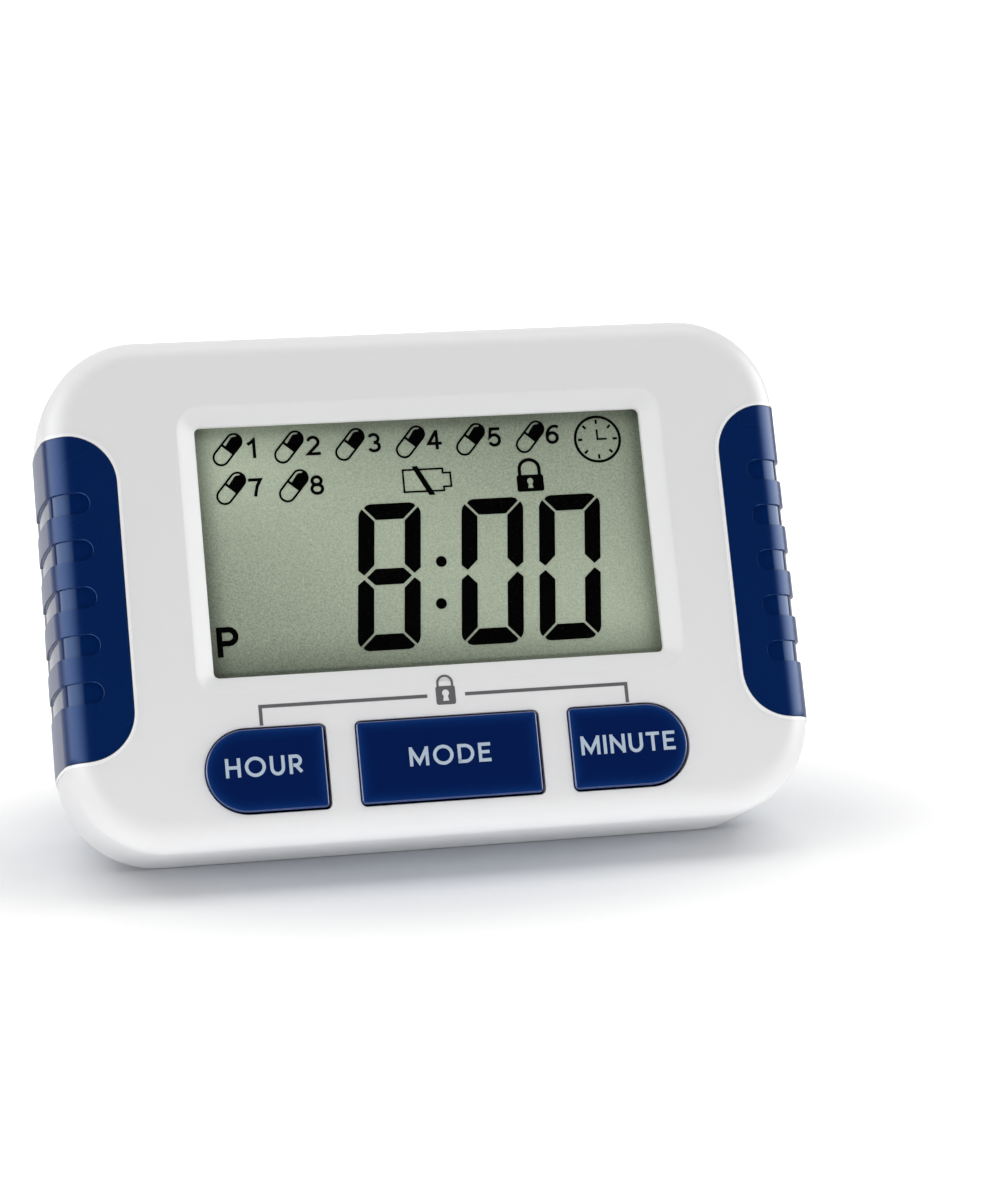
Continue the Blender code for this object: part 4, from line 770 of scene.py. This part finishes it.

# %% [markdown]
# ## The push buttons
#
# A cap stands almost half a millimetre proud of the face and slides in its hole. Behind the
# face a wider flange keeps it from falling out. The stem that reaches from there to the
# rubber dome is in the CAD model alone, since nothing shows it. The cap is drawn as one
# stack of outlines, from the flange up over a rounded edge to an almost flat top. It has a
# little play and sits to the left in its hole. Light that gets into the edge of a thin navy
# moulding is painted into its colour: the rim is painted a little bluer than the middle.
# Each outline therefore also writes down how near the edge it is, and the rounded edge gets
# a polished finish whose lighter blue is painted glow as well.

# %% The buttons' finish
button_navy = moulded_finish(
    "button_navy", (0.0016, 0.0110, 0.078), 0.20, 0.3,
    tone=0.12, scale=6000.0, Specular_IOR_Level=0.35, Specular_Tint=NAVY_SHEEN
)
tree, surface, shader = inside(button_navy)
# Painted glow: the colour turns a lighter blue towards the edge, where light gets into the
# moulding.
nearness = node(tree, "ShaderNodeAttribute", attribute_name="edge_nearness").outputs["Fac"]
painted_edge_glow = mix(tree, nearness, surface.outputs["Colour"], (0.004, 0.030, 0.150))
tree.links.new(painted_edge_glow, shader.inputs["Base Color"])
# The rounded rim is polished; its lighter blue is painted glow too.
polished_rim_painted_glow = moulded_finish(
    "polished_rim_painted_glow", (0.006, 0.030, 0.15), 0.12, 0.0, drift=0.03, tone=0.12, Specular_IOR_Level=1.0
)

# %% Stack a cap from its outlines
CAP_EDGE, CAP_TOP, CAP_SHIFT, CAP_GAP = 0.22, -0.43, -0.14, 0.17
FLANGE_FRONT, FLANGE_BACK, FLANGE_REACH = 2.1, 3.1, 0.6

# Each row: depth, growth beyond the nominal outline, nearness to the edge.
cap_sections = [(-0.46, -2.1, 0.0), (-0.455, -1.5, 0.05), (-0.45, -1.0, 0.2), (-0.44, -0.65, 0.5)]
RIM_FIRST, RIM_LAST = len(cap_sections), len(cap_sections) + 4
for i in range(6):
    angle = pi / 2 * i / 5
    drop, reach = CAP_EDGE * (1 - cos(angle)), CAP_EDGE * (1 - sin(angle))
    cap_sections.append((CAP_TOP + drop, -CAP_GAP - reach, 1.0))
cap_sections += [(0.2, -CAP_GAP, 0.2), (0.9, -BUTTON_GAP, 0.0), (FLANGE_FRONT, -BUTTON_GAP, 0.0)]
cap_sections += [(FLANGE_FRONT, FLANGE_REACH, 0.0), (FLANGE_BACK, FLANGE_REACH, 0.0)]


def cap(name):
    bm = through([(depth, button_outline(name, grow)) for depth, grow, _ in cap_sections])
    bmesh.ops.translate(bm, verts=bm.verts, vec=(CAP_SHIFT, 0, 0))
    layer = bm.verts.layers.float.new("edge_nearness")
    bm.verts.index_update()
    ring = len(bm.verts) // len(cap_sections)
    for i, vert in enumerate(bm.verts):
        vert[layer] = cap_sections[i // ring][2]
    # The rim's faces get the polished finish with the painted glow.
    for face in bm.faces:
        rows = {vert.index // ring for vert in face.verts}
        face.material_index = int(min(rows) >= RIM_FIRST and max(rows) <= RIM_LAST)
    return bm


for name in BUTTONS:
    coats = (button_navy, polished_rim_painted_glow)
    skin = piece(name + "_cap", cap(name), *coats, body=name, slot="navy_plastic", sharp=60)
    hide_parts(name)
    print(name, "faces:", len(skin.data.polygons))

# %% [markdown]
# ## Strokes for letters, numbers and printed lines
#
# The legends on the buttons, the small numbers on the display and the printed bracket are
# all lines of even width. So each letter is a few strokes on a unit square, and a stroke
# becomes a flat ribbon with mitred bends and square ends. Where strokes cross, each lies a
# hair deeper than the one before it, so that no two faces share a plane. Text objects would
# be quicker, but the built-in font doesn't have these open, round shapes.

# %% Letters as strokes
def bow(x, z, wide, high, start, end, steps=14):
    """Part of an ellipse; angles in degrees."""
    return arc((x, z), (wide, high), radians(start), radians(end - start), steps)


LETTERS = {
    "H": (0.74, [[(0, 0), (0, 1)], [(0.74, 0), (0.74, 1)], [(0, 0.52), (0.74, 0.52)]]),
    "O": (1.10, [bow(0.55, 0.5, 0.55, 0.53, 0, 360, 40)]),
    "U": (0.72, [[(0, 1), (0, 0.36)] + bow(0.36, 0.36, 0.36, 0.39, 180, 360) + [(0.72, 1)]]),
    "R": (
        0.66,
        [
            [(0, 0), (0, 1), (0.34, 1), *bow(0.34, 0.72, 0.27, 0.28, 90, -90), (0.26, 0.44)],
            [(0.30, 0.44), (0.66, 0)],
        ],
    ),
    "M": (
        1.02,
        [[(0, 0), (0, 1)], [(0.02, 0.98), (0.51, 0.10), (1.00, 0.98)], [(1.02, 1), (1.02, 0)]],
    ),
    "D": (
        0.84,
        [[(0, 0.1), (0, 1), (0.36, 1), *bow(0.36, 0.5, 0.48, 0.5, 90, -90, 20), (0, 0), (0, 0.1)]],
    ),
    "E": (0.58, [[(0.58, 1), (0, 1), (0, 0), (0.58, 0)], [(0, 0.52), (0.50, 0.52)]]),
    "I": (0.0, [[(0, 0), (0, 1)]]),
    "N": (0.78, [[(0, 0), (0, 1)], [(0.02, 0.97), (0.76, 0.03)], [(0.78, 0), (0.78, 1)]]),
    "T": (0.66, [[(0, 1), (0.66, 1)], [(0.33, 1), (0.33, 0)]]),
    "P": (0.66, [[(0, 0), (0, 1), (0.38, 1), *bow(0.38, 0.72, 0.28, 0.28, 90, -90), (0.22, 0.44)]]),
    "1": (0.38, [[(0, 0.74), (0.20, 0.85), (0.38, 1), (0.38, 0)]]),
    "2": (0.66, [bow(0.33, 0.71, 0.31, 0.29, 165, -35) + [(0.02, 0.0), (0.66, 0.0)]]),
    "3": (0.64, [bow(0.31, 0.745, 0.28, 0.255, 155, -90), bow(0.31, 0.26, 0.32, 0.26, 90, -155)]),
    "4": (0.70, [[(0.46, 1), (0, 0.28), (0.70, 0.28)], [(0.50, 1), (0.50, 0)]]),
    "5": (0.64, [[(0.60, 1), (0.13, 1), (0.05, 0.50)] + bow(0.32, 0.32, 0.32, 0.32, 130, -155)]),
    "6": (0.64, [bow(0.32, 0.30, 0.31, 0.30, 0, 360, 28), bow(0.50, 0.40, 0.49, 0.60, 180, 62)]),
    "7": (0.64, [[(0, 1), (0.64, 1), (0.42, 0.62), (0.28, 0)]]),
    "8": (0.64, [bow(0.32, 0.76, 0.27, 0.24, 0, 360, 28), bow(0.32, 0.27, 0.32, 0.27, 0, 360, 28)]),
}


# %% A stroke as a flat ribbon
def ribbon(bm, points, width, film):
    """Adds a flat strip along points (x, z); film is its front and back depth."""
    points = [Vector(p) for p in points]
    points = points[:1] + [b for a, b in zip(points, points[1:]) if (b - a).length > 1e-4]
    closed = (points[0] - points[-1]).length < 1e-4
    if closed:
        points = points[:-1]
    count = len(points)
    sides = []
    for i, point in enumerate(points):
        ways = []
        if i or closed:
            ways.append((point - points[i - 1]).normalized())
        if i < count - 1 or closed:
            ways.append((points[(i + 1) % count] - point).normalized())
        along = sum(ways, Vector((0, 0))).normalized()
        normal = Vector((-along.y, along.x))
        reach = width / 2 / max(normal.dot(Vector((-ways[0].y, ways[0].x))), 0.4)
        sides.append((point + normal * reach, point - normal * reach))
    rows = [[bm.verts.new((p.x, y, p.y)) for y in film for p in pair] for pair in sides]
    pairs = list(zip(rows, rows[1:])) + ([(rows[-1], rows[0])] if closed else [])
    for a, b in pairs:
        for i, j in ((0, 1), (1, 3), (3, 2), (2, 0)):
            bm.faces.new((a[i], a[j], b[j], b[i]))
    if not closed:
        for end in (rows[0], rows[-1]):
            bm.faces.new((end[0], end[1], end[3], end[2]))


LAYER_STEP = 0.004


def word(bm, text, centre, height, width, film, length=None):
    """Adds a word centred on (x, z); length sets how wide it comes out in all."""
    reach = height - width
    widths = [LETTERS[letter][0] * reach for letter in text]
    gap = (length - width - sum(widths)) / (len(text) - 1) if length else 0
    x = centre[0] - (sum(widths) + gap * (len(text) - 1)) / 2
    low = centre[1] - reach / 2
    for letter, wide in zip(text, widths):
        for layer, stroke in enumerate(LETTERS[letter][1]):
            points = [Vector((x + px * reach, low + pz * reach)) for px, pz in stroke]
            for end, near in ((0, 1), (-1, -2)):
                outward = points[end] - points[near]
                if min(abs(outward.x), abs(outward.y)) < 1e-6:
                    points[end] = points[end] + outward.normalized() * width / 2
            ribbon(bm, points, width, (film[0] + layer * LAYER_STEP, film[1]))
        x += wide + gap


def tidy(bm):
    bmesh.ops.recalc_face_normals(bm, faces=bm.faces)
    return bm


# %% [markdown]
# ## Legends on the buttons
#
# Each button says in plain words what it sets. The words are printed in pale grey, a thin
# film of ink that lies on the cap and moves with it.

# %% Print the legends
legend_ink = moulded_finish("legend_ink", (0.43, 0.52, 0.62), 0.5, 0.2, tone=0.10, scale=9000.0)
LEGENDS = {
    "hour_button": ("HOUR", (-20.0, 8.25), 8.2),
    "mode_button": ("MODE", (-0.12, 8.2), 8.8),
    "minute_button": ("MINUTE", (19.35, 8.15), 10.4),
}
LEGEND_HEIGHT, LEGEND_STROKE, LEGEND_FILM = 2.04, 0.35, (CAP_TOP - 0.055, CAP_TOP)

for name, (text, centre, length) in LEGENDS.items():
    bm = bmesh.new()
    word(bm, text, centre, LEGEND_HEIGHT, LEGEND_STROKE, LEGEND_FILM, length)
    printed = piece(name + "_legend", tidy(bm), legend_ink, body=name, slot="navy_plastic")
    print(text, "is", round(printed.dimensions.x * 1000, 1), "mm wide")

# %% [markdown]
# Above the middle button a thin printed bracket joins the two outer ones, with a small
# padlock in its gap: pressing both locks the settings. Print has hardly any thickness, so
# it stands a few hundredths of a millimetre off the face.

# %% Print the bracket and its padlock
print_grey = moulded_finish("print_grey", (0.115, 0.115, 0.12), 0.5, 0.2, tone=0.08, scale=9000.0)


def padlock(bm, centre, width, height, top, bar, film):
    """A padlock: a solid body with a keyhole, and a shackle that reaches up to top."""
    x, z = centre
    wide, high = width / 2, height / 2
    body = prism(rounded(x - wide, x + wide, z - high, z + high, height * 0.12, 3), *film)
    key = arc((x, z + height * 0.12), height * 0.19, radians(-55), radians(290), 16)
    key += [(x - height * 0.17, z - height * 0.30), (x + height * 0.17, z - height * 0.30)]
    pour(bm, boolean(body, prism(key, film[0] - 1, film[1] + 1)))
    half = (width * 0.86 - bar) / 2
    foot, shoulder = z + height / 2 - 0.02, top - bar / 2 - half * 0.95
    bow_over = arc((x, shoulder), (half, half * 0.95), pi, -pi, 14)
    ribbon(bm, [(x - half, foot), *bow_over, (x + half, foot)], bar, film)


PRINT = (-0.025, 0.02)
BRACKET_OUT, BRACKET_FOOT, BRACKET_TOP, BRACKET_LINE = 19.86, 12.62, 14.65, 0.37

bm = bmesh.new()
for side, inner in ((-1, -1.91), (1, 2.19)):
    out = side * BRACKET_OUT
    path = [(out, BRACKET_FOOT), (out, BRACKET_TOP), (inner, BRACKET_TOP)]
    ribbon(bm, path, BRACKET_LINE, PRINT)
padlock(bm, (0.09, 14.63), 2.12, 2.0, 16.85, 0.25, PRINT)
piece("printed_bracket", tidy(bm), print_grey, slot="white_plastic")
print("bracket printed")

# %% [markdown]
# ## What the display shows
#
# A liquid crystal display darkens little flat electrodes inside its glass. Here each one is
# a thin black film on the panel's front, under the clear lens. The big digits are the usual
# seven bars, mitred where they meet, with a hair of clear glass left between them, and
# leaning a little to the right. Eight small pills with numbers count the alarms.

# %% The display's ink
lcd_ink = moulded_finish(
    "lcd_ink", (0.0006, 0.0006, 0.0007), 0.5, 0.1, tone=0.2, scale=3000.0, Specular_IOR_Level=0.0
)
INK = (3.355, 3.40)
SLANT = 0.093
DIGIT_WIDTH, DIGIT_HEIGHT, BAR, MITRE = 6.86, 16.1, 1.76, 0.18


def bars():
    """The outlines of a digit's seven bars, a to g, as displays name them."""
    wide, high, middle = DIGIT_WIDTH, DIGIT_HEIGHT, DIGIT_HEIGHT / 2
    left_end = [(0.42 + MITRE, high - 0.42), (0.80, high - 0.14), (1.25, high)]
    top = [(BAR + MITRE, high - BAR)] + left_end
    top += [(wide - x, z) for x, z in left_end[::-1]] + [(wide - BAR - MITRE, high - BAR)]
    flat = [(x, high - z) for x, z in top][::-1]
    waist = [(0.96, middle), (1.90, middle + BAR / 2), (wide - 1.90, middle + BAR / 2)]
    waist += [(wide - 0.96, middle), (wide - 1.90, middle - BAR / 2), (1.90, middle - BAR / 2)]
    post = [(0.0, middle + 0.80), (0.0, high - 1.25), (0.10, high - 0.85)]
    post += [(0.33, high - 0.33 - MITRE), (BAR, high - BAR - MITRE)]
    post += [(BAR, middle + 1.32), (0.68, middle + 0.24)]

    def mirrored(shape):
        return [(wide - x, z) for x, z in shape][::-1]

    low_post = [(x, high - z) for x, z in post][::-1]
    upper = {"a": top, "b": mirrored(post), "f": post, "g": waist}
    return {**upper, "c": mirrored(low_post), "d": flat, "e": low_post}


def add_outline(bm, outline):
    rows = [[bm.verts.new((x, y, z)) for x, z in outline] for y in INK]
    bm.faces.new(rows[0])
    bm.faces.new(rows[1][::-1])
    for i in range(len(outline)):
        j = (i + 1) % len(outline)
        bm.faces.new((rows[0][i], rows[0][j], rows[1][j], rows[1][i]))


# %% The time
BASELINE = 20.45
bm = bmesh.new()
shapes = bars()
digits = ((-8.34, "abcdefg"), (3.05, "abcdef"), (11.70, "abcdef"))
for start, lit in digits:
    for bar in lit:
        add_outline(bm, [(start + x + z * SLANT, BASELINE + z) for x, z in shapes[bar]])
for up in (4.75, 9.38):
    add_outline(bm, arc((0.80 + up * SLANT, BASELINE + up), 0.60, 0, 2 * pi, 24)[:-1])
word(bm, "P", (-22.22, 22.36), 3.25, 0.60, INK)
piece("display_time", tidy(bm), lcd_ink, slot="black_epoxy")
print("bars lit:", sum(len(lit) for _, lit in digits))

# %% The row of pills and its numbers
PILL_REACH, PILL_RADIUS, PILL_TILT, PILL_LINE = 1.16, 0.93, radians(49), 0.22


def pill(bm, centre):
    """A capsule: outlined, and its upper half filled but for a streak of light."""
    turned = Matrix.Rotation(PILL_TILT, 2)

    def placed(points):
        return [tuple(Vector(centre) + turned @ Vector(p)) for p in points]

    radius = PILL_RADIUS - PILL_LINE / 2
    edge = arc((PILL_REACH, 0), radius, -pi / 2, pi, 16)
    edge += arc((-PILL_REACH, 0), radius, pi / 2, pi, 16)
    ribbon(bm, placed([*edge, edge[0]]), PILL_LINE, INK)
    inner = PILL_RADIUS - PILL_LINE * 0.8
    core = [(-0.12, inner), (-0.12, -inner)]
    core += arc((PILL_REACH, 0), inner, -pi / 2, radians(100), 12)
    core += arc((PILL_REACH, 0), 0.50, radians(25), radians(60), 6)
    core += [(0.85, 0.46), (0.14, 0.40), (0.14, inner)]
    add_outline(bm, placed(core))


ROWS = (
    ("123456", (-20.55, 43.37), (6.684, -0.03), (-18.02, -11.22, -4.53, 2.14, 8.83, 15.35), 43.38),
    ("78", (-20.5, 39.08), (6.80, -0.05), (-17.86, -11.18), 38.98),
)
bm = bmesh.new()
for digits, (x, z), (step, drop), middles, height in ROWS:
    for i, digit in enumerate(digits):
        pill(bm, (x + step * i, z + drop * i))
        word(bm, digit, (middles[i], height), 2.16, 0.33, INK)
piece("display_pills", tidy(bm), lcd_ink, slot="black_epoxy")
print("pills drawn:", sum(len(digits) for digits, *_ in ROWS))

# %% The clock, the battery and the padlock
bm = bmesh.new()
x, z, radius = 20.42, 42.6, 2.66
ribbon(bm, arc((x, z), radius - 0.14, 0, 2 * pi, 48), 0.28, INK)
for i in range(8):
    angle = pi * i / 4
    tick = [(x + reach * cos(angle), z + reach * sin(angle)) for reach in (2.2, 1.72)]
    ribbon(bm, tick, 0.24, INK)
ribbon(bm, [(x, z + 1.1), (x, z), (x + 1.05, z)], 0.20, INK)

left, right, low, high, nub = -1.66, 2.74, 37.7, 40.15, 3.57
cell = [(left, low), (right, low), (right, 38.13), (nub, 38.13), (nub, 39.66), (right, 39.66)]
ribbon(bm, cell + [(right, high), (left, high), (left, low)], 0.19, INK)
add_outline(bm, [(-0.64, 40.52), (1.05, 37.27), (1.72, 37.27), (-0.03, 40.55)])
padlock(bm, (12.39, 38.03), 2.98, 1.85, 40.84, 0.36, INK)
piece("display_symbols", tidy(bm), lcd_ink, slot="black_epoxy")
print("symbols drawn")

# %% [markdown]
# ## The display's glass and lens
#
# The panel behind the ink is grey-green, lighter along a diagonal where the lamp reaches it
# and darker towards the corners, with a fine grain. The lens in front is clear acrylic. Its
# alpha is low rather than its transmission high, so it stays clear in any renderer.

# %% The panel's grey-green
lcd_glass = moulded_finish(
    "lcd_glass", (0.50, 0.575, 0.44), 0.5, 0.0, tone=0.0, scale=7000.0, Specular_IOR_Level=0.2
)
tree, surface, shader = inside(lcd_glass)
low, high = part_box("lcd_panel")
print("panel box:", [round(v * 1000, 1) for v in (*low, *high)])
place = node(tree, "ShaderNodeTexCoord").outputs["Object"]
side = coordinates(tree, place)[0]
height = node(tree, "ShaderNodeVectorMath", operation="DOT_PRODUCT")
height.inputs[1].default_value = upward
tree.links.new(place, height.inputs[0])
up = Number(tree, height.outputs["Value"]) - face_foot.dot(upward)

# The light: a ridge along a diagonal, more of it at the top left and along the right.
aside = (up * 0.876 + side * 0.483 - 0.0272).math("ABSOLUTE")
lit = aside.ramp(0.0, 0.021, 0.93, 0.66)
lit += side.ramp(-0.006, -0.022, 0.0, 0.26) * up.ramp(0.032, 0.044)
lit += side.ramp(0.008, 0.022, 0.0, 0.10)

# The shade that the frame casts along each edge: left, right, top and bottom.
shade = side.ramp(-0.0248, -0.0215, 0.55, 1.0) * side.ramp(0.0250, 0.0238, 0.80, 1.0)
shade = shade * up.ramp(0.0456, 0.0438, 0.60, 1.0) * up.ramp(0.0180, 0.0235, 0.72, 1.0)
grain = (noise(tree, place, 5200.0, 3.0) - 0.5) * 0.85
toned = scaled(tree, surface.outputs["Colour"], (lit + grain) * shade)
tree.links.new(toned, shader.inputs["Base Color"])

# %% The clear lens
clear_lens = moulded_finish("clear_lens", (0.02, 0.02, 0.02), 0.08, 0.0, drift=0.03, Alpha=0.03)

# %% [markdown]
# ## Finishes for everything else
#
# The remaining pieces are the CAD model's own. They get a finish each: milky frame plastic,
# matt silicone, green lacquer over copper tracks, plated steel with fine draw marks, and a
# plain gold sleeve on the cells.

# %% Plated and drawn metal
drawn, asked, given = surface_group("draw_marks", Shine=0.25, Stretch=40.0)
place = node(drawn, "ShaderNodeTexCoord").outputs["Object"]
shape = node(drawn, "ShaderNodeCombineXYZ", X=1.0)
drawn.links.new(asked["Stretch"], shape.inputs["Y"])
drawn.links.new(asked["Stretch"], shape.inputs["Z"])
pulled = fed(drawn, "ShaderNodeVectorMath", place, shape.outputs[0], operation="MULTIPLY")
marks = noise(drawn, pulled, 400.0, 3.0)
drawn.links.new(scaled(drawn, asked["Colour"], marks * -0.18 + 1.0), given["Colour"])
((marks - 0.5) * 0.25 + Number(drawn, asked["Shine"])).feeds(given["Roughness"])
marks.feeds(given["Height"])

steel, amounts = (0.72, 0.72, 0.73), {"Shine": 0.26, "Stretch": 12.0}
plated_steel = finish_from(drawn, "plated_steel", steel, 0.15, amounts, {"Metallic": 1.0})

# %% The cells: a gold sleeve that stops short of the steel ends
BARE_END = 0.0012

cell_gold = moulded_finish(
    "cell_gold", (0.62, 0.40, 0.11), 0.26, 0.1, drift=0.08, tone=0.05, scale=2500.0, Metallic=0.9
)
low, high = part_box("cell_upper")
middle, half = (low.x + high.x) / 2, (high.x - low.x) / 2
print("a cell is", round(half * 2000, 1), "mm long")
tree, surface, shader = inside(cell_gold)
place = node(tree, "ShaderNodeTexCoord").outputs["Object"]
from_middle = (coordinates(tree, place)[0] - middle).math("ABSOLUTE")
bare = from_middle.ramp(half - BARE_END, half - BARE_END + 0.0001)
ends = mix(tree, bare.socket, surface.outputs["Colour"], (0.66, 0.66, 0.67))
tree.links.new(ends, shader.inputs["Base Color"])

# %% Plastics, rubbers and the board
frame_white = moulded_finish("frame_white", (0.72, 0.72, 0.70), 0.5, 0.3)
silicone = moulded_finish("grey_silicone", (0.33, 0.34, 0.36), 0.6, 0.4, tone=0.06)
zebra = moulded_finish("zebra_rubber", (0.28, 0.20, 0.21), 0.6, 0.4, tone=0.25, scale=2600.0)
epoxy = moulded_finish("black_epoxy", (0.010, 0.010, 0.011), 0.22, 0.1, drift=0.1)
black_plastic = moulded_finish("black_plastic", (0.020, 0.020, 0.021), 0.45, 0.5, tone=0.2)
red_wire = moulded_finish("red_wire", (0.50, 0.02, 0.02), 0.42, 0.3, tone=0.08)
black_wire = moulded_finish("black_wire", (0.018, 0.018, 0.019), 0.42, 0.3, tone=0.08)

board_green = moulded_finish("board_green", (0.014, 0.13, 0.045), 0.34, 0.2, tone=0.10)
tree, surface, shader = inside(board_green)
place = node(tree, "ShaderNodeTexCoord").outputs["Object"]
flat = fed(tree, "ShaderNodeMapping", place, Rotation=(radians(90), 0, 0))
tracks = fed(
    tree, "ShaderNodeTexBrick", flat, Scale=260.0, offset=0.5, Mortar_Size=0.06,
    Color1=(0, 0, 0, 1), Color2=(0, 0, 0, 1), Mortar=WHITE
)
copper = mix(tree, tracks, surface.outputs["Colour"], (0.035, 0.22, 0.075))
tree.links.new(copper, shader.inputs["Base Color"])

# %% Dress the CAD model's own nodes
FINISHES = {
    shell_white: "pill_lid battery_door",
    clear_lens: "display_lens",
    lcd_glass: "lcd_panel",
    frame_white: "lcd_frame",
    silicone: "keypad",
    zebra: "zebra_strip",
    board_green: "main_board",
    epoxy: "chip_blob",
    black_plastic: "capacitor buzzer",
    plated_steel: "crystal lid_hinge_pin spring_lower spring_upper battery_bridge"
    " positive_terminal negative_terminal case_screw_1 case_screw_2"
    " board_screw_1 board_screw_2 board_screw_3 board_screw_4",
    cell_gold: "cell_lower cell_upper",
    red_wire: "battery_lead_red",
    black_wire: "battery_lead_black",
}
dressed = 0
for coat, names in FINISHES.items():
    for name in names.split():
        nodes[name].material_slots[0].material = coat
        dressed += 1
print("CAD nodes dressed:", dressed)

# %% [markdown]
# ## Round pieces that look round
#
# The CAD mesh comes in as loose flat triangles, and on a screw or a cell each one would show.
# A Weld joins them up. A small geometry node group then shades smooth every edge that bends
# by less than a chosen angle, and Weighted Normal keeps the flat faces flat.

# %% A node group that shades by angle
SMOOTH_BELOW, WELD_REACH = 48, 0.000002

by_angle = bpy.data.node_groups.new("shade_by_angle", "GeometryNodeTree")
for way in ("INPUT", "OUTPUT"):
    group_socket(by_angle, "Geometry", way, "NodeSocketGeometry")
asked = by_angle.nodes.new("NodeGroupInput").outputs[0]
smooth = fed(by_angle, "GeometryNodeSetShadeSmooth", asked, domain="FACE")
edges = fed(by_angle, "GeometryNodeSetShadeSmooth", smooth, domain="EDGE")
bend = Number(by_angle, node(by_angle, "GeometryNodeInputMeshEdgeAngle").outputs["Unsigned Angle"])
bend.math("LESS_THAN", radians(SMOOTH_BELOW)).feeds(edges.node.inputs["Shade Smooth"])
by_angle.links.new(edges, by_angle.nodes.new("NodeGroupOutput").inputs[0])


# %% Weld and shade the CAD model's own nodes
def weld(made):
    made.modifiers.new("weld", "WELD").merge_threshold = WELD_REACH


def shade_by_angle(made):
    made.modifiers.new("shade_by_angle", "NODES").node_group = by_angle
    made.modifiers.new("flat_faces_stay_flat", "WEIGHTED_NORMAL").keep_sharp = True


# The lid and the door wait: their edges are rounded first, in the last step.
MOULDINGS = {"pill_lid", "battery_door"}
dressed_nodes = " ".join(FINISHES.values()).split()
inner_pieces = [name for name in dressed_nodes if name not in MOULDINGS]
for name in inner_pieces:
    weld(nodes[name])
    shade_by_angle(nodes[name])
print("shaded by angle:", len(inner_pieces))

# %% [markdown]
# The rear shell meets the front one all round, and two halves of one case are never moulded
# to different widths at their seam. So its skin is the CAD shell's own form, with the rim
# brought in to where the front skin ends. From there the side runs out to the CAD's back.

# %% The rear shell's rim follows the front shell
SEAM_REACH, SEAM_OUTER = 0.3, 0.25

shape = bmesh.new()
shape.from_mesh(nodes["rear_shell"].data)
bmesh.ops.transform(shape, matrix=to_world.inverted(), verts=shape.verts)
bmesh.ops.remove_doubles(shape, verts=shape.verts, dist=0.002)
moved = 0
for vert in shape.verts:
    x, y, z = vert.co
    reach_x, reach_z = abs(x) - (BODY_HALF - BODY_CORNER), z - (BODY_HEIGHT - BODY_CORNER)
    corner = Vector((max(reach_x, 0), max(reach_z, 0)))
    low = z < BODY_CORNER
    reach = Vector((corner.x, BODY_CORNER - z)) if low else corner
    if abs(y - FRONT_BACK) > SEAM_REACH or BODY_CORNER - reach.length > SEAM_OUTER:
        continue
    way = reach.normalized() * lean(FRONT_BACK)
    vert.co.x -= way.x * (1 if x > 0 else -1)
    vert.co.z -= 0 if low else way.y
    moved += 1
print("rim points brought in:", moved)
rear_skin = piece("rear_shell_skin", shape, shell_white, slot="white_plastic")
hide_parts("rear_shell")

# %% [markdown]
# The rear shell, the lid and the battery door show their edges from behind. A moulding never
# has a knife edge, so a small bevel rounds them. A Weld and a flat Decimate turn the loose
# triangles back into whole faces first, so that the bevel has clean edges to follow.

# %% Round the mouldings at the back
SOFT_EDGES = ((rear_skin, 0.22), (nodes["pill_lid"], 0.20), (nodes["battery_door"], 0.15))

rear_skin.modifiers.clear()
rear_skin.data.shade_flat()
for moulding, width in SOFT_EDGES:
    weld(moulding)
    whole = moulding.modifiers.new("whole_faces", "DECIMATE")
    whole.decimate_type = "DISSOLVE"
    whole.angle_limit = radians(0.5)
    edge = moulding.modifiers.new("soft_edges", "BEVEL")
    edge.width = width * MM
    edge.segments = 2
    edge.limit_method = "ANGLE"
    edge.angle_limit = radians(50)
    edge.harden_normals = True
    shade_by_angle(moulding)
    print(moulding.name, "edges softened by", width, "mm")

# %% [markdown]
#
# The Standard view transform shows a colour as it is written.

# %% Finish
bpy.context.scene.view_settings.view_transform = "Standard"
bpy.context.view_layer.update()
